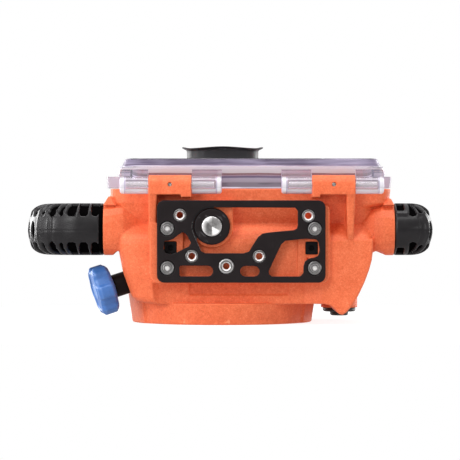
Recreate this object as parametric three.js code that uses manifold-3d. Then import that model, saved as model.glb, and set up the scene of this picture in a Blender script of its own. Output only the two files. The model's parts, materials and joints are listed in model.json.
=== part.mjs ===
// Underwater housing for a mirrorless camera, lying front down as it does on a bench when the camera is loaded:
// the lens port ring is at the bottom, the hinged clear back is on top, and the housing's own underside, with its
// accessory plate, faces -Y. Millimetres. The drawing is made round the lens axis (x = 0, y = 0, ring face z = 0);
// the outer group moves that drawing so that the origin is the middle of the footprint, at the ring's resting face.
import * as THREE from "three";
import { mergeVertices } from "three/addons/utils/BufferGeometryUtils.js";
import Module from "manifold-3d";

const wasm = await Module();
wasm.setup();

// ---------------------------------------------------------------- driving dimensions
const ORIGIN = [4.87, 12]; // middle of the footprint, measured from the lens axis
const SEAM = 96; // where the clear back meets the shell
const RING = { x: -0.25, r0: 64.5, r1: 66.65, bore: 57, thicker: 1.1 }; // lens port ring: its radii at the resting face and at the shell
const HINGE = { y: -60.5, z: 98.7, r: 6.8, pin: 1.6, hole: 1.9 };
const BLOCKS = [[-51.6, -21.6], [63.4, 93.6]]; // orange hinge knuckles of the shell
const KNUCKLES = [[-71.9, -52.0], [-21.2, -0.2], [41.8, 63.0], [94.0, 113.8]]; // clear knuckles of the back
const PINS = [[-68.4, -5.8], [47.0, 108.8]];
const PLATE = { x0: -45.6, x1: 72.5, z0: 29.9, z1: 87.6, y0: -68, y1: -64.3 };
const PLATE_SCREWS = [[-38.4, 67.8], [-38.4, 40.1], [65.0, 67.6], [65.0, 40.1]];
const INSERTS = [[-29.5, 77.2, 4.35], [60.5, 76.7, 4.35], [-21.2, 48.4, 4.35], [26.0, 48.3, 4.35], [3.0, 41.4, 5.15]];
const VALVE = [-7.1, 69.3];
const NUTS = [[-36.3, 54.3], [63.1, 54.1]];
const ARM = { z: 67.4, r: 18.5, yLow: -37.5, yHigh: 66 };
const GRIP = { x: -122.4, bend: 21, power: 2.85 }; // the grips' section is a circle squared off to this power
const KNOB = { at: [-68, -26, 29.5], n: [-0.93, -0.208, -0.302], phase: 0.694 };
const PORT_PLUG = [87.4, 32];
const BUTTONS = [[85, 48], [85, 26], [85, 4], [-50, 46]];
const LATCHES = [[-44, 1], [86, -1]]; // x, and which way its cam groove turns
const LATCH = { z: 88, stud: 13.4, rim: 18.3 };
const SHUTTER = [76, 34];
const DIAL = [58, 64];
const MODE = [-48, 37];
const EYE = [0, 52];

// ---------------------------------------------------------------- materials
const mat = (color, roughness, metalness = 0, extra = {}) => new THREE.MeshStandardMaterial({ color, roughness, metalness, ...extra });
const ORANGE = mat(0xf0703c, 0.62);
const CLEAR = mat(0xddd6ea, 0.08, 0, { transparent: true, opacity: 0.35 });
const BLACK_RUBBER = mat(0x242326, 0.6);
const BLACK_PLASTIC = mat(0x1b1a1b, 0.5);
const BLACK_METAL = mat(0x1d1b1c, 0.45, 0.6);
const STEEL = mat(0xb9b6b4, 0.28, 1);
const BLUE = mat(0x3f74c4, 0.45);
const SEAL = mat(0x2b2b2e, 0.7);
const GLASS = mat(0xcfd6de, 0.05, 0, { transparent: true, opacity: 0.35 });
const GREY_METAL = mat(0x3a3b3e, 0.4, 0.8);

// ---------------------------------------------------------------- small solids
function volume(p, t) {
  let v = 0;
  for (let i = 0; i < t.length; i += 3) {
    const [a, b, c] = [t[i] * 3, t[i + 1] * 3, t[i + 2] * 3];
    v += p[a] * (p[b + 1] * p[c + 2] - p[b + 2] * p[c + 1]) - p[a + 1] * (p[b] * p[c + 2] - p[b + 2] * p[c]) + p[a + 2] * (p[b] * p[c + 1] - p[b + 1] * p[c]);
  }
  return v;
}
function solid(geometry) {
  const g = geometry.clone();
  g.deleteAttribute("normal");
  g.deleteAttribute("uv");
  const m = mergeVertices(g, 1e-4);
  const p = m.attributes.position.array;
  const t = [];
  for (let i = 0; i < m.index.count; i += 3) {
    const [a, b, c] = [m.index.array[i], m.index.array[i + 1], m.index.array[i + 2]];
    if (a !== b && b !== c && a !== c) t.push(a, b, c);
  }
  if (volume(p, t) < 0) for (let i = 0; i < t.length; i += 3) [t[i + 1], t[i + 2]] = [t[i + 2], t[i + 1]];
  return new wasm.Manifold(new wasm.Mesh({ numProp: 3, vertProperties: new Float32Array(p), triVerts: new Uint32Array(t) }));
}
const join = (...list) => list.flat().reduce((a, b) => a.add(b));
const cut = (a, ...list) => list.flat().reduce((x, y) => x.subtract(y), a);

const box = (x0, x1, y0, y1, z0, z1) => solid(new THREE.BoxGeometry(x1 - x0, y1 - y0, z1 - z0).translate((x0 + x1) / 2, (y0 + y1) / 2, (z0 + z1) / 2));
const circle = (x, y, r, n = 20, turn = 0) => Array.from({ length: n }, (_, i) => [x + r * Math.cos(turn + (2 * Math.PI * i) / n), y + r * Math.sin(turn + (2 * Math.PI * i) / n)]);
const arc = (x, y, r, a0, a1, n) => Array.from({ length: n + 1 }, (_, i) => { const a = ((a0 + ((a1 - a0) * i) / n) * Math.PI) / 180; return [x + r * Math.cos(a), y + r * Math.sin(a)]; });
// A rectangle with its own radius at each corner: (x0,y0), (x1,y0), (x1,y1), (x0,y1).
function rounded(x0, x1, y0, y1, r, n = 4) {
  const [a, b, c, d] = Array.isArray(r) ? r : [r, r, r, r];
  return [...arc(x0 + a, y0 + a, a, 180, 270, n), ...arc(x1 - b, y0 + b, b, 270, 360, n), ...arc(x1 - c, y1 - c, c, 0, 90, n), ...arc(x0 + d, y1 - d, d, 90, 180, n)];
}
function shapeOf(points, holes = []) {
  const s = new THREE.Shape(points.map((p) => new THREE.Vector2(...p)));
  for (const h of holes) s.holes.push(new THREE.Path(h.map((p) => new THREE.Vector2(...p))));
  return s;
}
const extrude = (points, depth, holes) => new THREE.ExtrudeGeometry(shapeOf(points, holes), { depth, bevelEnabled: false });
const toY = new THREE.Matrix4().makeBasis(new THREE.Vector3(1, 0, 0), new THREE.Vector3(0, 0, 1), new THREE.Vector3(0, -1, 0));
const toX = new THREE.Matrix4().makeBasis(new THREE.Vector3(0, 1, 0), new THREE.Vector3(0, 0, 1), new THREE.Vector3(1, 0, 0));
const prismZ = (points, z0, z1, holes) => solid(extrude(points, z1 - z0, holes).translate(0, 0, z0));
const prismY = (points, y0, y1, holes) => solid(extrude(points, y1 - y0, holes).applyMatrix4(toY).translate(0, y1, 0)); // points are [x, z]
const prismX = (points, x0, x1, holes) => solid(extrude(points, x1 - x0, holes).applyMatrix4(toX).translate(x0, 0, 0)); // points are [y, z]
const rodZ = (x, y, r, z0, z1, n = 16) => prismZ(circle(x, y, r, n), z0, z1);
const rodY = (x, z, r, y0, y1, n = 16) => prismY(circle(x, z, r, n), y0, y1);
const rodX = (y, z, r, x0, x1, n = 12) => prismX(circle(y, z, r, n), x0, x1);
// A turned piece: profile is [radius, height] from axis to axis, or a closed loop off the axis.
function turned(profile, n = 24) {
  const closed = profile[0][0] > 0;
  const pts = (closed ? [...profile, profile[0]] : profile).map(([r, h]) => new THREE.Vector2(r, h));
  return solid(new THREE.LatheGeometry(pts, n).rotateX(Math.PI / 2));
}
const turnedY = (profile, x, z, n) => solidAt(turned(profile, n), new THREE.Matrix4().makeTranslation(x, 0, z).multiply(new THREE.Matrix4().makeBasis(new THREE.Vector3(1, 0, 0), new THREE.Vector3(0, 0, -1), new THREE.Vector3(0, 1, 0))));
function geometryOf(manifold) {
  const m = manifold.getMesh();
  const v = new Float32Array(m.numVert * 3);
  for (let i = 0; i < m.numVert; i++) v.set(m.vertProperties.subarray(i * m.numProp, i * m.numProp + 3), i * 3);
  return new THREE.BufferGeometry().setAttribute("position", new THREE.BufferAttribute(v, 3)).setIndex(new THREE.BufferAttribute(new Uint32Array(m.triVerts), 1));
}
const solidAt = (manifold, matrix) => solid(geometryOf(manifold).applyMatrix4(matrix));
// A skin over a stack of equal rings of points, capped at both ends.
function loft(rings) {
  const n = rings[0].length, position = rings.flat(2), index = [];
  for (let k = 0; k + 1 < rings.length; k++)
    for (let i = 0; i < n; i++) {
      const j = (i + 1) % n, a = k * n + i, b = k * n + j, c = a + n, d = b + n;
      index.push(a, b, d, a, d, c);
    }
  const cap = (k, flip) => {
    const r = rings[k], o = new THREE.Vector3(...r[0]);
    const centre = r.reduce((s, p) => s.add(new THREE.Vector3(...p)), new THREE.Vector3()).divideScalar(n);
    const u = new THREE.Vector3(...r[0]).sub(centre).normalize();
    const w = new THREE.Vector3(...r[Math.floor(n / 4)]).sub(centre);
    const normal = new THREE.Vector3().crossVectors(u, w).normalize();
    const v = new THREE.Vector3().crossVectors(normal, u);
    const flat = r.map((p) => { const q = new THREE.Vector3(...p).sub(o); return new THREE.Vector2(q.dot(u), q.dot(v)); });
    for (const t of THREE.ShapeUtils.triangulateShape(flat, [])) index.push(...(flip ? [t[2], t[1], t[0]] : t).map((i) => i + k * n));
  };
  cap(0, true);
  cap(rings.length - 1, false);
  return solid(new THREE.BufferGeometry().setAttribute("position", new THREE.BufferAttribute(new Float32Array(position), 3)).setIndex(index));
}
const loftZ = (levels) => loft(levels.map(([z, pts]) => pts.map(([x, y]) => [x, y, z])));
const loftX = (levels) => loft(levels.map(([x, pts]) => pts.map(([y, z]) => [x, y, z])));
// A prism along Y whose ends are rounded over, each by [depth along Y, inset all round].
function puffedY(points, y0, y1, near, far, steps = 2) {
  const xs = points.map((p) => p[0]), zs = points.map((p) => p[1]);
  const [ax, bx, az, bz] = [Math.min(...xs), Math.max(...xs), Math.min(...zs), Math.max(...zs)];
  const ring = (y, e) => points.map(([x, z]) => [(ax + bx) / 2 + (x - (ax + bx) / 2) * (1 - (2 * e) / (bx - ax)), y, (az + bz) / 2 + (z - (az + bz) / 2) * (1 - (2 * e) / (bz - az))]);
  const end = ([depth, inset]) => Array.from({ length: steps + 1 }, (_, i) => { const a = (Math.PI * i) / (2 * steps); return [depth * (1 - Math.cos(a)), inset * (1 - Math.sin(a))]; });
  return loft([...end(near).map(([d, e]) => ring(y0 + d, e)), ...end(far).map(([d, e]) => ring(y1 - d, e)).reverse()]);
}
// A helical spring with closed round wire, along +Z from z0 to z1.
function spring(r, wire, z0, z1, turns, steps = 9, sides = 5) {
  const rings = [];
  const total = Math.round(turns * steps);
  for (let i = 0; i <= total; i++) {
    const a = (2 * Math.PI * i) / steps, z = z0 + wire + ((z1 - z0 - 2 * wire) * i) / total;
    rings.push(circle(0, 0, wire, sides).map(([u, v]) => [(r + u) * Math.cos(a), (r + u) * Math.sin(a), z + v]));
  }
  return loft(rings);
}
const moved = (s, x, y, z) => solidAt(s, new THREE.Matrix4().makeTranslation(x, y, z));

const assembly = new THREE.Group();
assembly.position.set(-ORIGIN[0], -ORIGIN[1], 0);
const groups = {};
function group(name, x = 0, y = 0, z = 0, quaternion) {
  const g = new THREE.Group();
  g.position.set(x, y, z);
  if (quaternion) g.quaternion.copy(quaternion);
  assembly.add(g);
  g.updateMatrix();
  groups[name] = g;
  return g;
}
// Adds a solid drawn round the lens axis to a group, as a mesh in that group's own frame.
function add(parent, name, manifold, material) {
  const g = geometryOf(manifold).applyMatrix4(parent.matrix.clone().invert());
  const flat = g.toNonIndexed();
  flat.computeVertexNormals();
  const mesh = new THREE.Mesh(flat, material.clone());
  mesh.name = name;
  parent.add(mesh);
  return mesh;
}

// ================================================================ shell
const shellGroup = group("shell");
const body = (xl, xr, yn, yf, r) => rounded(xl, xr, yn, yf, r, 6);
const outer = loftZ([
  [14.6, body(-54, 66, -59.6, 66, [18, 8, 26, 30])],
  [16.3, body(-61, 72, -60.5, 69, [22, 8, 26, 30])],
  [19.2, body(-64.6, 79, -60.5, 72, [22, 8, 26, 28])],
  [37, body(-70.7, 96, -60.5, 79.4, [18, 4, 24, 24])],
  [57, body(-74.4, 104, -60.5, 82.3, [14, 4, 22, 22])],
  [60.5, body(-74.7, 105.4, -59.8, 82.9, [14, 5, 22, 22])],
  [63.6, body(-74.9, 105.8, -57.6, 83.2, [13, 6, 22, 22])],
  [67, body(-75.1, 105.9, -53.8, 83.6, [13, 8, 21, 21])],
  [71.4, body(-75.3, 106, -48.5, 84, [12, 10, 20, 20])],
  [82.6, body(-75.6, 107, -52.3, 84, [12, 12, 20, 20])],
  [85.9, body(-79.8, 118.9, -53.4, 84, [14, 14, 22, 22])],
  [SEAM, body(-79.7, 120.3, -53.4, 84, [14, 14, 22, 22])],
]);
// Lens port ring, with the shallow steps where its thicker quarters begin.
const ringOutline = [];
for (const d of [...Array.from({ length: 23 }, (_, i) => -50 + 5 * i), 61.6, 62.4, ...Array.from({ length: 48 }, (_, i) => 65 + 5 * i), 303, 303.8])
  ringOutline.push([((d - 90) * Math.PI) / 180, d < 62 || d > 303.4 ? 0 : RING.thicker]);
const ringAt = (r) => ringOutline.map(([a, d]) => [RING.x + (r + d) * Math.cos(a), (r + d) * Math.sin(a)]);
const portRing = loftZ([[0, ringAt(RING.r0 - 0.3)], [0.4, ringAt(RING.r0)], [15, ringAt(RING.r1)]]);
// Below the zoom knob the ring's flank runs on up the side of the shell.
const flank = cut(loftZ([[14.8, ringAt(RING.r1)], [24.6, ringAt(RING.r1 + 1.4)]]), box(-46, 80, -80, 80, 10, 30), box(-80, -40, -80, -33, 10, 30), box(-80, -40, 30, 80, 10, 30));
// Lobe over the camera's own hand grip.
const lobe = puffedY(
  [[58, 60.5], [58, 14.8], [66, 14.7], [72.3, 14.6], [76, 13.7], [79.4, 11.2], [82.2, 7.8], [83.6, 7.1], [85.2, 7.0], [87.4, 8.5], [91.2, 12.8], [95.9, 20.4], [100.3, 29.6], [103.7, 38.8], [105.6, 45.8], [106.2, 51], [106.2, 60.5]],
  -60.5, 68, [1.6, 1.2], [10, 6],
);
// Stubs that carry the left handle, each with its waist, and the long web that carries the right grip.
const stub = (y, r) => loftX([
  [-84.2, rounded(y - r, y + r, ARM.z - r, ARM.z + r, 15, 4)],
  [-78, rounded(y - r, y + r, ARM.z - r, ARM.z + r, 14, 4)],
  [-70, rounded(y - r + 1.4, y + r, ARM.z - r, ARM.z + r, 12, 4)],
  [-57, rounded(y - r + 7.4, y + r, ARM.z - r, ARM.z + r - 4, 9, 4)],
]);
const lean = (points) => points.map(([y, z]) => [y, z < ARM.z ? ARM.z - (ARM.z - z) * (1 - 0.17 * Math.min(1, Math.max(0, (y + 30) / 80))) : z]); // its lower edge rises towards the top of the housing
const web = loftX([
  [96, lean(rounded(-47.4, 78, 49.2, 76, 8, 4))],
  [108, lean(rounded(-54, 80, 48.8, 82.6, 12, 4))],
  [114, lean(rounded(-55.3, 80, 48.8, 85, 15, 4))],
  [122.3, lean(rounded(-55.5, 80, 48.8, 85.6, 17, 4))],
]);
const arches = [rodY(-72.4, 46, 6.3, -80, 100, 20), rodY(110.9, 45.7, 6.4, -80, 100, 20)]; // small arches where they meet the body
// Gussets between the sockets and the flange above them.
const gussets = [
  loftZ([[84.4, rounded(-84.4, -75, -52.5, -26, 1, 1)], [90.6, rounded(-80.7, -79.2, -50, -30, 0.5, 1)]]),
  loftZ([[84.4, rounded(114, 122.3, -51.5, -26, 1, 1)], [89, rounded(118.4, 119.9, -49, -30, 0.5, 1)]]),
];
// Pad and bosses behind the accessory plate.
const pad = cut(
  prismY(rounded(-50.3, 75.6, 29.4, 84, [6, 6, 3, 3], 3), -64, -46.6),
  prismY(rounded(-42.6, 70, 33.4, 100, [4, 4, 1, 1], 2), -70, -40),
  box(-60, -42, -70, -40, 71.5, 100),
);
const bosses = [
  ...PLATE_SCREWS.map(([x, z]) => rodY(x, z, 7.6, -64, -46.6, 16)),
  rodY(VALVE[0], VALVE[1], 14.8, -63.7, -46, 30),
  box(VALVE[0], VALVE[0] + 14.6, -63.7, -46.6, VALVE[1], 86),
  // sockets of the two captive nuts
  box(NUTS[0][0] - 6.3, NUTS[0][0] + 9.1, -62.4, -50, NUTS[0][1] - 6.9, NUTS[0][1] + 12.6),
  box(NUTS[1][0] - 9.8, NUTS[1][0] + 6.3, -62.4, -50, NUTS[1][1] - 6.9, NUTS[1][1] + 6.9),
  box(53.3, 59.4, -62.4, -46.6, 33, 71),
];
// Hinge knuckles of the shell, with the tapering rib that runs down from each.
const blocks = BLOCKS.map(([x0, x1]) => join(rodX(HINGE.y, HINGE.z, HINGE.r, x0, x1, 20), prismX([[-67.3, 98.7], [-67.3, 91.7], [-50, 91.7], [-50, 95.9], [-53.4, 95.9], [-54.6, 98.0], [-60.5, 98.7]], x0, x1)));
blocks.push(box(BLOCKS[0][1] - 7.2, BLOCKS[0][1], -67.3, -50, 90, 92.4), box(BLOCKS[1][0], BLOCKS[1][0] + 5.4, -67.3, -50, 89.7, 92.4)); // each is a little deeper at its inner end
const ribs = [[-51.6, -45.6, -51.2, -46.6], [87.4, 93.6, 88.0, 92.4]].map(([a, b, c, d]) =>
  loftZ([[60.5, rounded(c, d, -60.9, -46.8, 0.6, 1)], [64, rounded(c - 0.2, d + 0.2, -62.4, -46.8, 0.6, 1)], [93, rounded(a, b, -66.9, -46.8, 0.8, 1)]]),
);
// The face steps back below the plate, with a shallow relief in the middle of the step.
const stepBack = loft([
  [[-44.4, -56.2, 29.4], [57.8, -56.2, 29.4], [57.8, -56.2, 8], [-44.4, -56.2, 8]],
  [[-53.2, -64, 29.4], [80.6, -64, 29.4], [80.6, -64, 8], [-53.2, -64, 8]],
]);
const relief = loft([
  [[-22.4, -55, 29.4], [46.2, -55, 29.4], [46.2, -55, 21.4], [-22.4, -55, 21.4]],
  [[-26.4, -59, 29.4], [50.2, -59, 29.4], [50.2, -59, 18.2], [-26.4, -59, 18.2]],
]);
// Top of the housing: the raised panel over the viewfinder, and seats for the controls.
const hump = loft([
  [[-29, 78, 20], [36, 78, 20], [36, 80, 74], [-29, 80, 74]],
  [[-22, 87, 30], [28, 87, 30], [28, 87, 71], [-22, 87, 71]],
].map((r) => r.slice().reverse()));
const seats = [
  rodY(SHUTTER[0], SHUTTER[1], 9, 62, 85.6, 14),
  rodY(DIAL[0], DIAL[1], 14, 76, 85.2, 18),
  rodY(MODE[0], MODE[1], 15, 68, 85.2, 18),
  ...LATCHES.map(([x]) => rodY(x, LATCH.z - 1, 8.5, 78, 84.3, 12)),
];
const plugBoss = rodZ(PORT_PLUG[0], PORT_PLUG[1], 13.6, 9, 40, 24);
const knobAxis = new THREE.Vector3(...KNOB.n).normalize();
const knobTurn = new THREE.Quaternion().setFromUnitVectors(new THREE.Vector3(0, 0, 1), knobAxis);
const knobFrame = new THREE.Matrix4().compose(new THREE.Vector3(...KNOB.at), knobTurn, new THREE.Vector3(1, 1, 1));
const alongKnob = (profile, n) => solidAt(turned(profile, n), knobFrame);
const knobBoss = alongKnob([[0, -9], [10, -9], [10, -0.6], [9, 0.4], [0, 0.4]], 20);

// What is taken out of it.
const cavity = loftZ([
  [20.6, body(-60, 70, -52.4, 64, [20, 8, 24, 26])],
  [31, body(-62, 86, -53, 70, [16, 8, 22, 24])],
  [42, body(-65, 93, -55.2, 74.6, [14, 8, 20, 20])],
  [56, body(-67, 99, -55.2, 77, [12, 8, 18, 18])],
  [67, body(-67.5, 99.6, -45.4, 78, [10, 10, 16, 16])],
  [99, body(-67.5, 100, -45.4, 78, [10, 10, 16, 16])],
]);
const lobeCavity = puffedY(
  [[60, 58], [60, 21], [72, 20.4], [78.6, 18], [82.2, 13.6], [84.4, 12.4], [86.4, 14.8], [90.4, 22.8], [94.4, 31.8], [98, 40.6], [99.6, 48], [99.6, 58]],
  -54.6, 60, [4, 3], [7, 4],
);
const portBore = join(rodZ(0, 0, RING.bore, -5, 13.4, 60), rodZ(0, 0, 53, 13, 30, 60));
const sealGroove = prismZ(rounded(-72.6, 105.1, -50.7, 83.1, [13, 13, 18, 18], 3), SEAM - 2.4, SEAM + 5, [rounded(-69.6, 102.1, -47.7, 80.1, [11, 11, 16, 16], 3)]);
const taken = [
  cavity, lobeCavity, portBore, sealGroove,
  ...PLATE_SCREWS.map(([x, z]) => rodY(x, z, 3.0, -70, -56.6, 12)),
  rodY(VALVE[0], VALVE[1], 9.35, -70, -40, 22),
  ...NUTS.map(([x, z]) => box(x - 4.4, x + 4.4, -66, -56.9, z - 4.6, z + 4.6)),
  ...BLOCKS.map(([x0, x1]) => rodX(HINGE.y, HINGE.z, HINGE.hole, x0 - 1, x1 + 1, 16)),
  ...BLOCKS.map(([x0, x1]) => rodY((x0 + x1) / 2, HINGE.z, 1.5, -70, HINGE.y - 1, 10)),
  alongKnob([[0, -16], [7.05, -16], [7.05, 0.4], [8.6, 0.4], [8.6, 12], [0, 12]], 20),
  rodZ(PORT_PLUG[0], PORT_PLUG[1], 8.3, 0, 26, 24),
  rodZ(PORT_PLUG[0], PORT_PLUG[1], 13.9, 0, 9, 24),
  prismZ(circle(...PORT_PLUG, 11.5, 20), 6, 11.4, [circle(...PORT_PLUG, 8.9, 20)]),
  ...LATCHES.map(([x]) => rodY(x, LATCH.z, 2.7, 79.6, 90, 12)),
  rodY(SHUTTER[0], SHUTTER[1], 5.4, 56, 90, 14),
  rodY(DIAL[0], DIAL[1], 3.4, 60, 90, 10),
  rodY(MODE[0], MODE[1], 3.4, 58, 90, 10),
  rodY(0, 8, 2.4, 50, 80, 12),
  rodY(0, 8, 3.9, 62.2, 80, 14),
];
const arms = cut(join(stub(ARM.yLow, ARM.r), stub(ARM.yHigh, 16.4), web), arches);
const face = cut(join(outer, lobe), stepBack, relief);
let shell = cut(join(face, portRing, flank, arms, gussets, pad, bosses, blocks, ribs, hump, seats, plugBoss, knobBoss), taken);
// Posts inside that carry the camera tray.
const trayScrews = [[-46, 34], [78, 34]];
shell = join(shell, trayScrews.map(([x, z]) => cut(rodY(x, z, 6, -57, -45.1, 16), rodY(x, z, 2.4, -53, -40, 10))));
add(shellGroup, "main_shell", shell, ORANGE);

// ================================================================ lens port
const mountRing = cut(
  turned([[52.6, 2.2], [54.4, 1.2], [56.6, 1.2], [56.6, 13], [52.6, 13]], 48),
  [30, 150, 270].map((a) => solidAt(box(48, 55.2, -11, 11, 0, 6.4), new THREE.Matrix4().makeRotationZ((a * Math.PI) / 180))),
  rodY(0, 8, 2.4, 50, 60, 12),
);
add(shellGroup, "port_mount_ring", mountRing, BLACK_METAL);

// ================================================================ accessory plate on the underside
const slot = (x0, x1, z0, z1, rl, rr) => rounded(x0, x1, z0, z1, [rl, rr, rr, rl], 3);
const plateHoles = [
  [...arc(...VALVE, 13.9, 90, 205, 9), [-14.8, 52.2], [-12.0, 50.5], [15.2, 50.5], [18.9, 51.7], [21.2, 55.5], [25.3, 61.9], [28.3, 64.3], [33.6, 65.2], [50.1, 66.7], [52.4, 67.8], [53.1, 70.2], [53.1, 80.3], [51.4, 82.4], [-3, 82.7]],
  [[-40.3, 59.0], [-37.2, 59.4], [-34.0, 60.7], [-31.4, 62.9], [-27.4, 65.4], [-24.6, 63.4], [-21.8, 57.7], [-23.2, 55.3], [-32.2, 50.9], [-36, 49.7], [-39.7, 50.7], [-40.9, 53.6]],
  slot(-29.8, -6.2, 34.3, 41.8, 1.2, 3.7),
  slot(12.7, 26.3, 34.2, 41.6, 3.65, 3.65),
  [[41.4, 56.5], [44.1, 59.2], [54.3, 60.3], [59.2, 60.6], [66.1, 60.2], [67.7, 58.1], [68.4, 52.8], [67.4, 48.8], [65.6, 47.8], [60.8, 46.8], [58.1, 44.8], [57.1, 41.5], [57.0, 36.7], [54.9, 34.3], [35, 34.2], [32.9, 35.8], [32.8, 38.2]],
];
const plate = cut(
  prismY(rounded(PLATE.x0, PLATE.x1, PLATE.z0, PLATE.z1, 5, 4), PLATE.y0, PLATE.y1, [
    ...plateHoles,
    ...PLATE_SCREWS.map(([x, z]) => circle(x, z, 3.1, 10)),
    ...INSERTS.map(([x, z, r]) => circle(x, z, r + 0.35, 14)),
  ]),
  PLATE_SCREWS.map(([x, z]) => rodY(x, z, 5.35, -70, -65.4, 16)),
);
add(shellGroup, "accessory_plate", plate, BLACK_METAL);
const screwNames = ["upper_left", "lower_left", "upper_right", "lower_right"];
PLATE_SCREWS.forEach(([x, z], i) => {
  const s = cut(turnedY([[0, -67.8], [3.4, -67.8], [4.9, -67.2], [4.9, -65.7], [2.7, -65.7], [2.7, -57], [0, -57]], x, z, 14), rodY(x, z, 2.1, -70, -66.4, 6));
  add(group("screw" + i, x, -67.8, z), "plate_screw_" + screwNames[i], s, STEEL);
});
const insertNames = ["top_left", "top_right", "bottom_left", "bottom_right", "centre"];
INSERTS.forEach(([x, z, r], i) => {
  const s = turnedY([[2.2, -67.0], [3.0, -67.9], [r - 0.4, -67.9], [r, -67.4], [r, -64.5], [2.2, -64.5]], x, z, 14);
  add(group("insert" + i, x, -67.9, z), "plate_insert_" + insertNames[i], s, STEEL);
});
NUTS.forEach(([x, z], i) => add(group("nut" + i, x, -57, z), "captive_nut_" + ["left", "right"][i], cut(box(x - 4.2, x + 4.2, -61.6, -57.2, z - 4.4, z + 4.4), rodY(x, z, 2.1, -70, -58.4, 10)), BLACK_METAL));

// ================================================================ vacuum valve in the underside
const valveGroup = group("valve", VALVE[0], -67.8, VALVE[1]);
add(valveGroup, "valve_body", turnedY([[7.45, -67.5], [11.9, -67.5], [12.9, -66.6], [12.9, -64.0], [9, -64.0], [9, -43], [3, -43], [3, -57.6], [7.45, -57.6]], ...VALVE, 26), BLACK_METAL);
add(valveGroup, "valve_button", turnedY([[0, -68], [6.2, -68], [7.1, -67.4], [7.1, -64.2], [2.6, -64.2], [2.6, -41.5], [0, -41.5]], ...VALVE, 22), STEEL);
add(valveGroup, "valve_spring", solidAt(spring(4.6, 0.5, -63.9, -57.9, 2.5, 8, 4), new THREE.Matrix4().makeTranslation(VALVE[0], 0, VALVE[1]).multiply(toY).multiply(new THREE.Matrix4().makeScale(1, 1, -1))), STEEL);

// ================================================================ handles
// Left: a closed loop that the fingers pass through. It is bolted to the two stubs.
const leg = -84.6, gripRings = [];
const squared = (c) => Math.sign(c) * Math.pow(Math.abs(c), 2 / GRIP.power);
const ringAlong = (x, y, dx, dy) => circle(0, 0, 1, 20).map(([u, v]) => [x + ARM.r * squared(u) * dy, y - ARM.r * squared(u) * dx, ARM.z + ARM.r * squared(v)]);
gripRings.push(ringAlong(leg, ARM.yLow, -1, 0));
for (let i = 0; i <= 5; i++) {
  const a = (i * Math.PI) / 10;
  gripRings.push(ringAlong(GRIP.x + GRIP.bend - GRIP.bend * Math.sin(a), ARM.yLow + GRIP.bend - GRIP.bend * Math.cos(a), -Math.cos(a), Math.sin(a)));
}
for (let i = 0; i <= 5; i++) {
  const a = (i * Math.PI) / 10;
  gripRings.push(ringAlong(GRIP.x + GRIP.bend - GRIP.bend * Math.cos(a), ARM.yHigh - GRIP.bend + GRIP.bend * Math.sin(a), Math.sin(a), Math.cos(a)));
}
gripRings.push(ringAlong(leg, ARM.yHigh, 1, 0));
add(group("left_handle", leg, ARM.yLow, ARM.z), "left_grip", loft(gripRings), BLACK_RUBBER);
// Right: a long half-round grip on the web.
const rightGrip = [[122.7, 0], [131.8, 0], ...[14, 30, 46, 62, 76, 84].map((d) => [131.8 + 18.3 * squared(Math.sin((d * Math.PI) / 180)), 18 * (1 - squared(Math.cos((d * Math.PI) / 180)))])];
add(group("right_handle", 122.7, 12, ARM.z), "right_grip", loftX(rightGrip.map(([x, e]) => [x, rounded(-55.6 + e, 80 - e, 48.8 + e, 86 - e, 18 - e, 5)])), BLACK_RUBBER);

// ================================================================ hinge pins
PINS.forEach(([x0, x1], i) => add(group("pin" + i, x0, HINGE.y, HINGE.z), "hinge_pin_" + ["left", "right"][i], rodX(HINGE.y, HINGE.z, HINGE.pin, x0, x1, 16), STEEL));
BLOCKS.forEach(([x0, x1], i) => {
  const x = (x0 + x1) / 2;
  add(group("set" + i, x, -67.3, HINGE.z), "hinge_set_screw_" + ["left", "right"][i], cut(rodY(x, HINGE.z, 1.15, -66.9, HINGE.y - HINGE.pin - 0.3, 12), rodY(x, HINGE.z, 0.6, -70, -65.4, 6)), STEEL);
});

// ================================================================ zoom knob
const knobGroup = group("zoom", ...KNOB.at, knobTurn);
add(shellGroup, "zoom_gland", alongKnob([[3.1, -7.5], [6.7, -7.5], [6.7, 0.8], [8.2, 0.8], [8.2, 3], [6.2, 3], [6.2, 10.8], [5.6, 11.5], [3.1, 11.5]], 20), BLACK_PLASTIC);
const star = (n, lobes, r, dip) => Array.from({ length: n }, (_, i) => {
  const a = (2 * Math.PI * i) / n, w = 0.5 + 0.5 * Math.cos(lobes * (a - KNOB.phase));
  const k = r - dip * Math.pow(1 - w, 2.2);
  return [k * Math.cos(a), k * Math.sin(a)];
});
const knobLocal = cut(
  loftZ([[12.0, star(48, 6, 16.4, 1.5)], [14.0, star(48, 6, 18.5, 2.2)], [22.6, star(48, 6, 18.5, 2.2)], [25.0, star(48, 6, 16.4, 1.5)]]),
  prismZ(circle(0, 0, 2.8, 12), 10, 22.8),
);
add(knobGroup, "zoom_knob", solidAt(knobLocal, knobFrame), BLUE);
add(knobGroup, "zoom_shaft", alongKnob([[0, -19], [2.5, -19], [2.5, 22.2], [0, 22.2]], 12), STEEL);
const gear = [];
for (let i = 0; i < 12; i++) {
  const p = (r, f) => { const a = (2 * Math.PI * (i + f)) / 12; return [r * Math.cos(a), r * Math.sin(a)]; };
  gear.push(p(6.0, 0), p(6.0, 0.28), p(8.0, 0.4), p(8.0, 0.62), p(6.0, 0.74));
}
add(knobGroup, "zoom_pinion", solidAt(prismZ(gear, -17.5, -9.5, [circle(0, 0, 2.8, 16)]), knobFrame), BLACK_PLASTIC);

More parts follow.
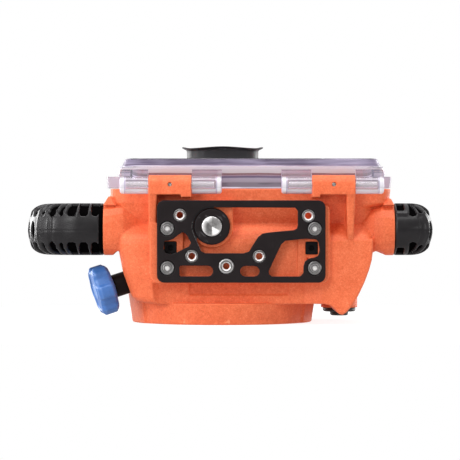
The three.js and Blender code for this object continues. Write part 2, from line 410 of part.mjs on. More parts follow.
// ================================================================ accessory port beside the lens port
add(group("plug", ...PORT_PLUG, 5.9), "accessory_port_plug", cut(moved(turned([[0, 2.9], [5.9, 2.9], [6.9, 3.8], [6.9, 5.9], [11.3, 5.9], [12.3, 6.8], [12.3, 8.7], [8, 8.7], [8, 20], [0, 20]], 22), ...PORT_PLUG, 0), box(PORT_PLUG[0] - 9, PORT_PLUG[0] + 9, PORT_PLUG[1] - 1.2, PORT_PLUG[1] + 1.2, 0, 4.9)), BLACK_PLASTIC);
add(group("plug_seal", ...PORT_PLUG, 10), "accessory_port_seal", moved(turned(circle(10.2, 10.1, 0.95, 6), 20), ...PORT_PLUG, 0), SEAL);

// ================================================================ camera tray inside
add(group("tray", 0, -43, 57), "camera_tray", cut(
  prismY(rounded(-57, 90, 23, 91, 6, 3), -44.7, -41.7),
  prismY(slot(8, 40, 46, 53, 3.5, 3.5), -50, -40),
  rodY(VALVE[0], VALVE[1], 10.8, -50, -40, 20),
  trayScrews.map(([x, z]) => rodY(x, z, 2.7, -50, -40, 12)),
), GREY_METAL);
trayScrews.forEach(([x, z], i) => add(group("tray_screw" + i, x, -40, z), "tray_screw_" + ["left", "right"][i], turnedY([[0, -39.2], [4, -39.2], [4, -41.4], [2.1, -41.4], [2.1, -52], [0, -52]], x, z, 12), STEEL));
add(group("camera_screw", 22, -46, 49.5), "camera_screw", turnedY([[0, -54.4], [6.2, -54.4], [6.2, -46.8], [5, -45.2], [3.1, -45.2], [3.1, -36.5], [0, -36.5]], 22, 49.5, 16), STEEL);

// ================================================================ hinged clear back
const lidGroup = group("lid", 21, HINGE.y, HINGE.z);
// The knuckles' free ends are rounded over.
const knuckle = (x0, x1, far) => {
  const ends = [[0, 5], [0.5, 6], [1.6, 6.5]].map(([d, r]) => [far ? x1 - d : x0 + d, circle(HINGE.y, HINGE.z, r, 20)]);
  const other = [far ? x0 : x1, circle(HINGE.y, HINGE.z, 6.5, 20)];
  return loftX(far ? [other, ...ends.reverse()] : [...ends, other]);
};
const lidParts = [
  prismZ(rounded(-72, 114.6, -53, 83.6, [12, 12, 18, 18], 4), SEAM + 0.3, 106.2),
  loftZ([
    [106.0, rounded(-74.4, 115.8, -55.8, 83.8, [13, 13, 19, 19], 4)],
    [111.0, rounded(-74.4, 115.8, -55.8, 83.8, [13, 13, 19, 19], 4)],
    [111.7, rounded(-73.6, 115, -55, 83, [13, 13, 19, 19], 4)],
  ]),
  loftZ([
    [111.5, rounded(-71.6, 113.4, -52.6, 80.6, [11, 11, 16, 16], 4)],
    [116.9, rounded(-69.2, 110.8, -50.4, 78, [9, 9, 13, 13], 4)],
    [117.6, rounded(-68.4, 110, -49.6, 77.2, [9, 9, 13, 13], 4)],
  ]),
  // side tabs to lift it by
  loftZ([[98.2, rounded(-85.6, -68, 20, 44, 3, 2)], [106.4, rounded(-86.2, -68, 19.6, 44.4, 3, 2)]]),
  loftZ([[98.2, rounded(110, 125.2, 20, 44, 3, 2)], [106.4, rounded(110, 125.8, 19.6, 44.4, 3, 2)]]),
  ...KNUCKLES.map(([x0, x1], i) => join(knuckle(x0, x1, i % 2), prismX([[-60.5, 98.7], [-54.6, 96.6], [-52, 96.6], [-52, 109.4], [-58.4, 109.4], [-64.6, 104.2]], x0, x1))),
];
const lidTaken = [
  prismZ(rounded(-64, 106.5, -44, 75, [8, 8, 12, 12], 4), SEAM - 5, 112.4),
  ...PINS.map(([x0, x1]) => rodX(HINGE.y, HINGE.z, HINGE.hole, x0 - 0.3, x1 + 0.3, 16)),
];
const gland = BUTTONS.map(([x, y]) => rodZ(x, y, 8, 107, 112.6, 16));
const bores = [
  ...BUTTONS.map(([x, y]) => rodZ(x, y, 6.3, 110.4, 120, 16)),
  ...BUTTONS.map(([x, y]) => rodZ(x, y, 2.5, 100, 120, 10)),
  prismZ(rounded(EYE[0] - 17, EYE[0] + 17, EYE[1] - 12, EYE[1] + 12, 8, 4), 105, 120),
  ...LATCHES.map(([x]) => rodY(x, LATCH.z + LATCH.stud, 2.5, 79.6, 90, 12)),
];
const backLid = cut(join(cut(join(lidParts), lidTaken), gland), bores);
add(lidGroup, "back_lid", backLid, CLEAR);
add(lidGroup, "lid_seal", prismZ(rounded(-72.2, 104.7, -50.3, 82.7, [12.6, 12.6, 17.6, 17.6], 3), SEAM - 2.1, SEAM, [rounded(-70, 102.5, -48.1, 80.5, [11.4, 11.4, 16.4, 16.4], 3)]), SEAL);
const eye = (rx, ry, z, r) => [z, rounded(EYE[0] - rx, EYE[0] + rx, EYE[1] - ry, EYE[1] + ry, r, 5)];
add(lidGroup, "eyecup", cut(
  loftZ([eye(26.8, 20.8, 117.9, 15), eye(27.2, 21.2, 119, 15), eye(27.2, 21.2, 127.2, 16), eye(30.6, 24.6, 128.9, 19), eye(30.8, 24.8, 129.5, 19)]),
  loftZ([eye(16.8, 11.8, 117, 8), eye(16.8, 11.8, 120.6, 8), eye(22.4, 16.6, 121.4, 12), eye(24.6, 18.6, 126.6, 14), eye(28.4, 22.4, 129.6, 17)]),
), BLACK_RUBBER);
add(lidGroup, "eyepiece_window", prismZ(rounded(EYE[0] - 16.4, EYE[0] + 16.4, EYE[1] - 11.4, EYE[1] + 11.4, 7.4, 4), 112.6, 119.2), GLASS);
LATCHES.forEach(([x], i) => add(lidGroup, "latch_stud_" + ["left", "right"][i], turnedY([[0, 80], [2.2, 80], [2.2, 91.2], [1.6, 91.8], [0, 91.8]], x, LATCH.z + LATCH.stud, 14), STEEL));

// Push buttons through the back, each on its own spring.
BUTTONS.forEach(([x, y], i) => {
  const g = group("button" + i, x, y, 118);
  add(g, "back_button_" + (i + 1), moved(turned([[0, 101], [2.1, 101], [2.1, 116], [5.8, 116], [5.8, 118.7], [5.2, 119.3], [0, 119.3]], 16), x, y, 0), BLACK_PLASTIC);
  add(g, "button_spring_" + (i + 1), moved(spring(3.5, 0.4, 110.7, 115.7, 2.5, 8, 4), x, y, 0), STEEL);
});

// ================================================================ cam latches on the top of the housing
LATCHES.forEach(([x, way], i) => {
  const g = group("latch" + i, x, 87.6, LATCH.z), r = LATCH.stud, w = 2.75;
  // the arm hangs straight down when the latch is open, and swings outwards to close
  const outline = [...arc(0, 0, LATCH.rim, -58, 238, 20), [-8, -20], [-7, -30], [-4.6, -33.4], [0, -34.4], [4.6, -33.4], [7, -30], [8, -20]];
  const groove = [...arc(0, 0, r + w, 90, 168, 8), ...arc(r * Math.cos((168 * Math.PI) / 180), r * Math.sin((168 * Math.PI) / 180), w, 168, 348, 5).slice(1, -1), ...arc(0, 0, r - w, 168, 90, 8)];
  const mirror = (pts) => (way > 0 ? pts : pts.map(([a, b]) => [-a, b]).reverse());
  const place = (pts) => mirror(pts).map(([a, b]) => [a + x, b + LATCH.z]);
  const lever = cut(
    join(prismY(place(outline), 84.7, 90.5), prismY(place([[-6, -23], [-5.4, -30.6], [5.4, -30.6], [6, -23]]), 90, 92)),
    prismY(place(groove), 80, 95),
    prismY(place([[-w, r - 0.5], [w, r - 0.5], [w + 1.2, LATCH.rim + 2], [-w, LATCH.rim + 2]]), 80, 95),
    prismY(place(arc(0, r, w, 180, 360, 6).concat([[w, r + 1], [-w, r + 1]])), 80, 95),
    rodY(x, LATCH.z, 2.8, 80, 95, 14),
    rodY(x, LATCH.z, 5, 89.2, 95, 16),
  );
  add(g, "latch_lever_" + ["left", "right"][i], lever, BLACK_METAL);
  add(shellGroup, "latch_pivot_" + ["left", "right"][i], turnedY([[0, 80], [2.4, 80], [2.4, 89.5], [4.6, 89.5], [4.6, 91.6], [3.8, 92.2], [0, 92.2]], x, LATCH.z, 16), STEEL);
});

// ================================================================ controls on the top of the housing
add(shellGroup, "shutter_gland", turnedY([[2.8, 66], [5, 66], [5, 85.9], [7.4, 85.9], [7.4, 87.4], [2.8, 87.4]], ...SHUTTER, 14), BLACK_METAL);
const shutterGroup = group("shutter", SHUTTER[0], 88, SHUTTER[1]);
const [sx, sz] = SHUTTER;
add(shutterGroup, "shutter_lever", cut(
  join(
    prismY([...arc(sx, sz, 7.2, 60, 290, 12), [sx + 12, sz - 9], [sx + 20, sz - 8.6], [sx + 24.4, sz - 5.5], [sx + 25.2, sz - 0.5], [sx + 21, sz + 0.4], [sx + 12, sz + 2.2]], 87.8, 92.6),
    prismY([[sx + 18.2, sz - 8.2], [sx + 23.6, sz - 5.6], [sx + 24.9, sz - 0.6], [sx + 21, sz + 0.2], [sx + 17.8, sz - 1]], 78, 92.6),
  ),
  rodY(sx, sz, 2.8, 70, 91, 14),
), BLACK_METAL);
add(shutterGroup, "shutter_shaft", join(
  rodY(sx, sz, 2.4, 50, 90.6, 14),
  cut(prismY([...arc(sx, sz, 5, -60, 150, 6), [sx - 14, sz + 1.5], [sx - 15.5, sz - 3.4], [sx - 12, sz - 4.4]], 50, 55), rodY(sx, sz, 2.2, 48, 58, 14)),
), STEEL);
const knurled = (x, z, r, y0, y1, n) => prismY(Array.from({ length: n * 2 }, (_, i) => { const a = (Math.PI * i) / n; const k = i % 2 ? r - 0.8 : r; return [x + k * Math.cos(a), z + k * Math.sin(a)]; }), y0, y1);
add(group("dial", DIAL[0], 88, DIAL[1]), "control_dial", join(knurled(...DIAL, 11.5, 85.6, 91.6, 18), rodY(...DIAL, 9.4, 91, 92.6, 18), rodY(...DIAL, 3, 70, 86, 12), rodY(...DIAL, 6, 70, 73, 12)), BLACK_METAL);
add(group("mode", MODE[0], 88, MODE[1]), "mode_dial", join(knurled(...MODE, 13.4, 85.6, 91.2, 20), box(MODE[0] - 10, MODE[0] + 10, 90.6, 93, MODE[1] - 2.6, MODE[1] + 2.6), rodY(...MODE, 3, 59, 86, 12), rodY(...MODE, 6, 59, 62, 12)), BLACK_METAL);

// ================================================================ push button that releases the lens port from its bayonet
const releaseGroup = group("port_release", 0, 69, 8);
add(releaseGroup, "port_release_button", turnedY([[0, 54.4], [1.9, 54.4], [1.9, 69.6], [5, 69.6], [5.6, 70.4], [5.6, 72.8], [4.8, 73.8], [0, 73.8]], 0, 8, 16), STEEL);
add(shellGroup, "port_release_spring", solidAt(spring(3.0, 0.35, 62.6, 68.8, 2.5, 8, 4), new THREE.Matrix4().makeTranslation(0, 0, 8).multiply(toY).multiply(new THREE.Matrix4().makeScale(1, 1, -1))), STEEL);

const root = new THREE.Group();
root.add(assembly);
export default root;
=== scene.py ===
"""The looks of an underwater camera housing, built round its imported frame.

The shell, the clear back and the small metal parts keep the frame's shapes, with their edges rounded as a mould or a
cutter leaves them. The two rubber grips, the eyecup, the zoom knob and the metal heads are drawn anew in finer detail.
Points are written in the drawing's own millimetres, measured round the lens axis; SHIFT takes them to the row frame."""

import json
import math

import bmesh
import bpy
import numpy as np
from mathutils import Matrix, Quaternion, Vector

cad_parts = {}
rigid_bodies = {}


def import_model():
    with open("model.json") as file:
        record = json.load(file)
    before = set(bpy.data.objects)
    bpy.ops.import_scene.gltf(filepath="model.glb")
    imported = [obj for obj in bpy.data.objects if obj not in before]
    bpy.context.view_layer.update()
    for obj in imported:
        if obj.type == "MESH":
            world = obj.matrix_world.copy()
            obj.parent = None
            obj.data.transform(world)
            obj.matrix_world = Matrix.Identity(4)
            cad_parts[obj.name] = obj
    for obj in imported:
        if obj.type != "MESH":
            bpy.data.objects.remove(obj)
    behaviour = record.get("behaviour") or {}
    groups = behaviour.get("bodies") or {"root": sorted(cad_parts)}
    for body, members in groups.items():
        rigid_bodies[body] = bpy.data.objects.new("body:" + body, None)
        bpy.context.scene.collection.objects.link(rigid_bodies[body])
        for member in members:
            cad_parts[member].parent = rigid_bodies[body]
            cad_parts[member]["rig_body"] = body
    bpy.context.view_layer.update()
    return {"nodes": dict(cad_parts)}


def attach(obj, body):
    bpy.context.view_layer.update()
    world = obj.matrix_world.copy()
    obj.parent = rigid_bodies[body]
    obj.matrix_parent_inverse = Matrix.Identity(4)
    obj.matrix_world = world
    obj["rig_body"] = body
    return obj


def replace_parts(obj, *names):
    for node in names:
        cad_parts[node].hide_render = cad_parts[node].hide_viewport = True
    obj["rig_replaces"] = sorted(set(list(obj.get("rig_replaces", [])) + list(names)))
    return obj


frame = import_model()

SHIFT = np.array([4.87, 12.0, 0.0])
MM = 0.001
scene = bpy.context.scene
NODES = frame["nodes"]
BODY = {n: o["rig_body"] for n, o in NODES.items()}


def row(point):
    return Vector([(c - s) * MM for c, s in zip(point, SHIFT)])


# ------------------------------------------------------------------ materials
class Graph:
    """A material's node tree, with sockets set or linked by name."""

    def __init__(self, name):
        self.material = bpy.data.materials.new(name)
        self.material.use_nodes = True
        self.tree = self.material.node_tree
        self.tree.nodes.clear()
        self.output = self.tree.nodes.new("ShaderNodeOutputMaterial")
        where = self.add("ShaderNodeTexCoord")
        self.at, self.facing = where.outputs["Object"], where.outputs["Normal"]

    def add(self, kind, props=None, **sockets):
        n = self.tree.nodes.new(kind)
        for k, v in (props or {}).items():
            setattr(n, k, v)
        for k, v in sockets.items():
            self.set(n, k.replace("_", " "), v)
        return n

    def set(self, n, socket, value):
        s = n.inputs[socket]
        if isinstance(value, bpy.types.NodeSocket):
            self.tree.links.new(value, s)
        else:
            s.default_value = value

    def noise(self, scale, detail=2.0, rough=0.55, at=None, distortion=0.0):
        return self.add("ShaderNodeTexNoise", None, Vector=at or self.at, Scale=scale, Detail=detail, Roughness=rough, Distortion=distortion).outputs[0]

    def scaled(self, x, y, z):
        n = self.add("ShaderNodeVectorMath", {"operation": "MULTIPLY"}, Vector=self.at)
        n.inputs[1].default_value = (x, y, z)
        return n.outputs[0]

    def math(self, op, a, b=None, c=None, clamp=False):
        n = self.add("ShaderNodeMath", {"operation": op, "use_clamp": clamp})
        for i, v in enumerate((a, b, c)):
            if v is None:
                continue
            if isinstance(v, bpy.types.NodeSocket):
                self.tree.links.new(v, n.inputs[i])
            else:
                n.inputs[i].default_value = v
        return n.outputs[0]

    def map(self, value, low, high, to_low=0.0, to_high=1.0, smooth=False):
        n = self.add("ShaderNodeMapRange", {"interpolation_type": "SMOOTHSTEP" if smooth else "LINEAR"}, Value=value)
        for i, v in zip((1, 2, 3, 4), (low, high, to_low, to_high)):
            n.inputs[i].default_value = v
        return n.outputs[0]

    def ramp(self, value, *stops):
        n = self.add("ShaderNodeValToRGB", None, Fac=value)
        e = n.color_ramp.elements
        e[0].position, e[1].position = stops[0][0], stops[-1][0]
        e[0].color, e[1].color = (*stops[0][1], 1.0), (*stops[-1][1], 1.0)
        for p, c in stops[1:-1]:
            e.new(p).color = (*c, 1.0)
        return n.outputs[0]

    def mix(self, factor, a, b):
        n = self.add("ShaderNodeMix", {"data_type": "RGBA"})
        for s, v in ((n.inputs[0], factor), (n.inputs[6], a), (n.inputs[7], b)):
            if isinstance(v, bpy.types.NodeSocket):
                self.tree.links.new(v, s)
            else:
                s.default_value = v if isinstance(v, float) else (*v, 1.0)
        return n.outputs[2]

    def bump(self, height, strength, distance, under=None):
        n = self.add("ShaderNodeBump", None, Height=height, Strength=strength, Distance=distance)
        if under is not None:
            self.set(n, "Normal", under)
        return n.outputs[0]

    def edges(self, low=0.52, high=0.6):
        """1 along convex edges, 0 on flats, from the mesh's own curvature; the materials use it to paint highlights
        along edges.
        """
        return self.map(self.add("ShaderNodeNewGeometry").outputs["Pointiness"], low, high, smooth=True)

    def shader(self, **sockets):
        n = self.add("ShaderNodeBsdfPrincipled", None, **sockets)
        self.tree.links.new(n.outputs[0], self.output.inputs["Surface"])
        return n


def orange_nylon():
    g = Graph("orange_glass_filled_nylon")
    grain = g.noise(1500.0, 2.0, 0.7)
    fleck = g.noise(620.0, 3.0, 0.6)
    cloud = g.noise(150.0, 3.0, 0.6)
    broad = g.noise(17.0, 2.0, 0.5)
    flow = g.noise(1.0, 2.0, 0.5, at=g.scaled(60.0, 60.0, 14.0))
    total = g.math("ADD", g.math("MULTIPLY", grain, 0.34), g.math("MULTIPLY", fleck, 0.30))
    total = g.math("ADD", total, g.math("MULTIPLY", cloud, 0.20))
    total = g.math("ADD", total, g.math("MULTIPLY", broad, 0.10))
    total = g.math("ADD", total, g.math("MULTIPLY", flow, 0.06))
    base = g.ramp(total, (0.36, (0.640, 0.094, 0.024)), (0.47, (0.765, 0.132, 0.040)), (0.56, (0.845, 0.172, 0.060)), (0.66, (0.920, 0.265, 0.125)))
    fibres = g.add("ShaderNodeTexVoronoi", {"feature": "DISTANCE_TO_EDGE"}, Vector=g.at, Scale=900.0).outputs["Distance"]
    specks = g.math("MULTIPLY", g.map(g.noise(1150.0, 1.0, 0.5), 0.66, 0.74, smooth=True), 0.22)
    base = g.mix(specks, base, (0.96, 0.46, 0.26))
    dark = g.math("MULTIPLY", g.map(g.noise(980.0, 1.0, 0.5, at=g.scaled(1.0, 1.3, 0.8)), 0.68, 0.76, smooth=True), 0.3)
    base = g.mix(dark, base, (0.42, 0.06, 0.016))
    # painted highlight: convex edges lightened towards pale orange
    base = g.mix(g.math("MULTIPLY", g.edges(0.515, 0.60), 0.45), base, (0.98, 0.40, 0.20))
    rough = g.map(g.math("ADD", g.math("MULTIPLY", grain, 0.5), g.math("MULTIPLY", cloud, 0.5)), 0.3, 0.7, 0.48, 0.66)
    bump = g.bump(grain, 0.35, 0.00012)
    bump = g.bump(fleck, 0.30, 0.00018, bump)
    bump = g.bump(fibres, 0.10, 0.00008, bump)
    g.shader(**{"Base_Color": base, "Roughness": rough, "Normal": bump, "Specular_IOR_Level": 0.42})
    return g.material


def black_rubber():
    g = Graph("black_moulded_rubber")
    grain = g.noise(1700.0, 2.0, 0.6)
    cloud = g.noise(90.0, 3.0, 0.6)
    bloom = g.noise(26.0, 2.0, 0.5)
    base = g.ramp(g.math("ADD", g.math("MULTIPLY", cloud, 0.6), g.math("MULTIPLY", bloom, 0.4)), (0.35, (0.0050, 0.0040, 0.0049)), (0.65, (0.0105, 0.0085, 0.0102)))
    # painted highlight: convex edges lightened towards grey
    base = g.mix(g.math("MULTIPLY", g.edges(0.52, 0.60), 0.45), base, (0.062, 0.058, 0.062))
    recess_shade = g.add("ShaderNodeAttribute", {"attribute_name": "recess_shade"}).outputs["Fac"]
    # painted shade: the bottoms of the tread's windows darkened, and their reflection taken away below
    base = g.mix(g.map(recess_shade, 0.25, 0.8), base, (0.0022, 0.0019, 0.0021))
    rough = g.map(g.math("ADD", g.math("MULTIPLY", grain, 0.4), g.math("MULTIPLY", cloud, 0.6)), 0.3, 0.7, 0.30, 0.44)
    bump = g.bump(grain, 0.22, 0.0001)
    g.shader(**{"Base_Color": base, "Roughness": rough, "Normal": bump, "Specular_IOR_Level": g.map(recess_shade, 0.25, 0.8, 0.34, 0.0)})
    return g.material


def soft_rubber():
    g = Graph("black_soft_silicone")
    grain = g.noise(2100.0, 2.0, 0.6)
    cloud = g.noise(70.0, 3.0, 0.55)
    base = g.ramp(cloud, (0.35, (0.008, 0.0075, 0.009)), (0.65, (0.016, 0.015, 0.018)))
    rough = g.map(g.math("ADD", g.math("MULTIPLY", grain, 0.5), g.math("MULTIPLY", cloud, 0.5)), 0.3, 0.7, 0.42, 0.58)
    g.shader(**{"Base_Color": base, "Roughness": rough, "Normal": g.bump(grain, 0.25, 0.00008), "Specular_IOR_Level": 0.5, "Sheen_Weight": 0.08, "Sheen_Roughness": 0.4})
    return g.material


def black_plastic():
    g = Graph("black_moulded_plastic")
    grain = g.noise(1300.0, 2.0, 0.6)
    cloud = g.noise(110.0, 2.0, 0.5)
    base = g.ramp(cloud, (0.35, (0.010, 0.0095, 0.010)), (0.65, (0.020, 0.019, 0.019)))
    # painted highlight: convex edges lightened towards grey
    base = g.mix(g.math("MULTIPLY", g.edges(0.53, 0.62), 0.4), base, (0.06, 0.056, 0.056))
    rough = g.map(grain, 0.3, 0.7, 0.38, 0.5)
    g.shader(**{"Base_Color": base, "Roughness": rough, "Normal": g.bump(grain, 0.2, 0.0001)})
    return g.material


def anodised(name="black_anodised_aluminium", low=0.0088, high=0.0145, rough_low=0.36, rough_high=0.48):
    g = Graph(name)
    blast = g.noise(2300.0, 2.0, 0.6)
    cloud = g.noise(60.0, 3.0, 0.6)
    scuff = g.noise(1.0, 2.0, 0.5, at=g.scaled(900.0, 40.0, 60.0))
    base = g.ramp(g.math("ADD", g.math("MULTIPLY", cloud, 0.5), g.math("MULTIPLY", blast, 0.5)), (0.35, (low, low * 0.70, low * 0.74)), (0.65, (high, high * 0.70, high * 0.75)))
    base = g.mix(g.math("MULTIPLY", g.map(scuff, 0.66, 0.78, smooth=True), 0.2), base, (0.035, 0.033, 0.034))
    # painted highlight: convex edges lightened towards grey
    base = g.mix(g.math("MULTIPLY", g.edges(0.55, 0.66), 0.5), base, (0.10, 0.095, 0.10))
    rough = g.map(g.math("ADD", g.math("MULTIPLY", blast, 0.6), g.math("MULTIPLY", cloud, 0.4)), 0.3, 0.7, rough_low, rough_high)
    g.shader(**{"Base_Color": base, "Roughness": rough, "Normal": g.bump(blast, 0.18, 0.00006), "Specular_IOR_Level": 0.16})
    return g.material


def steel(name="stainless_steel", axis=(1.0, 1.0, 1.0), rough_low=0.20, rough_high=0.36, tone=0.62):
    g = Graph(name)
    turned = g.noise(1.0, 2.0, 0.6, at=g.scaled(*(c * 900.0 for c in axis)))
    stain = g.noise(240.0, 3.0, 0.6)
    base = g.ramp(g.math("ADD", g.math("MULTIPLY", stain, 0.6), g.math("MULTIPLY", turned, 0.4)), (0.3, (tone * 0.80, tone * 0.78, tone * 0.76)), (0.7, (tone * 1.12, tone * 1.10, tone * 1.08)))
    rough = g.map(turned, 0.3, 0.7, rough_low, rough_high)
    g.shader(**{"Base_Color": base, "Metallic": 1.0, "Roughness": rough, "Normal": g.bump(turned, 0.12, 0.00005)})
    return g.material


def turned_metal(g, shades, edges_at, glint, rough=(0.26, 0.40)):
    """A face turned on a lathe about the piece's own Y axis. shades: tone by radius in mm, its dark rings painted shade
    in the grooves and its bright rings painted highlight; glint: a function giving where painted highlights lie, 0 to
    1.
    """
    part = g.add("ShaderNodeSeparateXYZ", None, Vector=g.at)
    radius = g.math("SQRT", g.math("ADD", g.math("POWER", part.outputs[0], 2.0), g.math("POWER", part.outputs[2], 2.0)))
    rings = g.add("ShaderNodeTexNoise", {"noise_dimensions": "1D"}, W=g.math("MULTIPLY", radius, 5200.0), Scale=1.0, Detail=2.0).outputs[0]
    stain = g.noise(420.0, 3.0, 0.6)
    mark = g.math("ADD", g.math("MULTIPLY", stain, 0.6), g.math("MULTIPLY", rings, 0.4))
    # painted shade and highlight in rings by radius
    base = g.ramp(g.map(radius, 0.0, edges_at), *shades)
    base = g.mix(g.map(mark, 0.60, 0.38, 0.0, 0.45), base, (0.10, 0.095, 0.095))
    # painted highlight: the glint's wedges and rings mixed towards near white, and made less metallic
    wedge = glint(g, part, radius)
    base = g.mix(wedge, base, (0.97, 0.95, 0.94))
    tangent = g.add("ShaderNodeTangent", {"direction_type": "RADIAL", "axis": "Y"}).outputs[0]
    g.shader(**{"Base_Color": base, "Metallic": g.map(wedge, 0.0, 1.0, 0.95, 0.25), "Roughness": g.map(rings, 0.3, 0.7, *rough), "Anisotropic": 0.6, "Tangent": tangent, "Normal": g.bump(rings, 0.25, 0.00004)})
    return g.material


def fan(g, part, degrees, low, high):
    """1 inside a wedge of the face about an angle, seen along the piece's axis."""
    c, s = math.cos(math.radians(degrees)), math.sin(math.radians(degrees))
    radius = g.math("SQRT", g.math("ADD", g.math("POWER", part.outputs[0], 2.0), g.math("POWER", part.outputs[2], 2.0)))
    along = g.math("ADD", g.math("MULTIPLY", part.outputs[0], c), g.math("MULTIPLY", part.outputs[2], s))
    return g.map(g.math("DIVIDE", along, g.math("ADD", radius, 1e-6)), low, high, smooth=True)


def grey(v):
    return (v, v * 0.97, v * 0.96)


def valve_glint(g, part, radius):
    first = g.math("MULTIPLY", fan(g, part, -58.0, 0.80, 0.93), g.map(radius, 0.0066, 0.0058))
    second = g.math("MULTIPLY", fan(g, part, 160.0, 0.40, 0.85), g.map(radius, 0.0036, 0.0054))
    third = g.math("MULTIPLY", fan(g, part, 112.0, 0.88, 0.96), g.map(radius, 0.0030, 0.0056, 0.2, 0.6))
    total = g.math("ADD", g.math("MULTIPLY", first, 0.95), g.math("MULTIPLY", second, 0.62))
    return g.math("ADD", g.math("ADD", total, third), g.math("MULTIPLY", fan(g, part, -25.0, 0.7, 0.95), 0.18), clamp=True)


def screw_glint(g, part, radius):
    rim = g.math("MULTIPLY", g.map(radius, 0.0046, 0.0048), 0.35)
    return g.math("ADD", g.map(radius, 0.0019, 0.0012), rim, clamp=True)


def insert_glint(g, part, radius):
    inner = g.map(radius, 0.00345, 0.00320)
    low = g.math("ADD", 0.35, g.math("MULTIPLY", fan(g, part, -80.0, -0.3, 0.7), 0.6))
    rim = g.math("MULTIPLY", g.map(radius, 0.0041, 0.0042), 0.25)
    return g.math("ADD", g.math("MULTIPLY", inner, low), rim, clamp=True)


def blue_plastic():
    g = Graph("blue_anodised_knob")
    grain = g.noise(1500.0, 2.0, 0.6)
    cloud = g.noise(60.0, 3.0, 0.6)
    base = g.ramp(g.math("ADD", g.math("MULTIPLY", grain, 0.4), g.math("MULTIPLY", cloud, 0.6)), (0.35, (0.042, 0.138, 0.420)), (0.65, (0.072, 0.205, 0.550)))
    # painted highlight: convex edges lightened towards pale blue
    base = g.mix(g.math("MULTIPLY", g.edges(0.515, 0.58), 0.45), base, (0.34, 0.52, 0.86))
    rough = g.map(grain, 0.3, 0.7, 0.36, 0.48)
    g.shader(**{"Base_Color": base, "Roughness": rough, "Normal": g.bump(grain, 0.2, 0.0001), "Specular_IOR_Level": 0.5})
    return g.material


def clear_plastic(name, tint, thick, density, rough_low=0.015, rough_high=0.05, edges=None):
    """Clear moulding: lets lamps through, and darkens towards thick with the length of plastic that light crosses.
    edges, if given, lays an opaque layer over its flanks, painted in bands of highlight, shade and reflection by
    height; the flanks are drafted, less polished, and seen through their depth."""
    g = Graph(name)
    smear = g.noise(45.0, 3.0, 0.6)
    scratch = g.noise(1.0, 2.0, 0.6, at=g.scaled(700.0, 60.0, 700.0))
    rough = g.map(g.math("ADD", g.math("MULTIPLY", smear, 0.6), g.math("MULTIPLY", scratch, 0.4)), 0.35, 0.68, rough_low, rough_high)
    ripple = g.bump(g.noise(38.0, 1.0, 0.4), 0.02, 0.0006)
    ripple = g.bump(scratch, 0.05, 0.00004, ripple)
    n = g.add("ShaderNodeBsdfPrincipled", None, **{"Base_Color": g.mix(g.map(smear, 0.3, 0.7), tint, tuple(c * 0.985 for c in tint)), "Roughness": rough, "Normal": ripple, "IOR": 1.5, "Transmission_Weight": 1.0})
    surface = n.outputs[0]
    if edges:
        surface = edges(g, surface)
    clear = g.add("ShaderNodeBsdfTransparent", None, Color=(*(c * 0.96 for c in tint), 1.0))
    shade = g.add("ShaderNodeMixShader", None, Fac=g.add("ShaderNodeLightPath").outputs["Is Shadow Ray"])
    g.tree.links.new(surface, shade.inputs[1])
    g.tree.links.new(clear.outputs[0], shade.inputs[2])
    g.tree.links.new(shade.outputs[0], g.output.inputs["Surface"])
    inside = g.add("ShaderNodeVolumeAbsorption", None, Color=(*thick, 1.0), Density=density)
    g.tree.links.new(inside.outputs[0], g.output.inputs["Volume"])
    return g.material


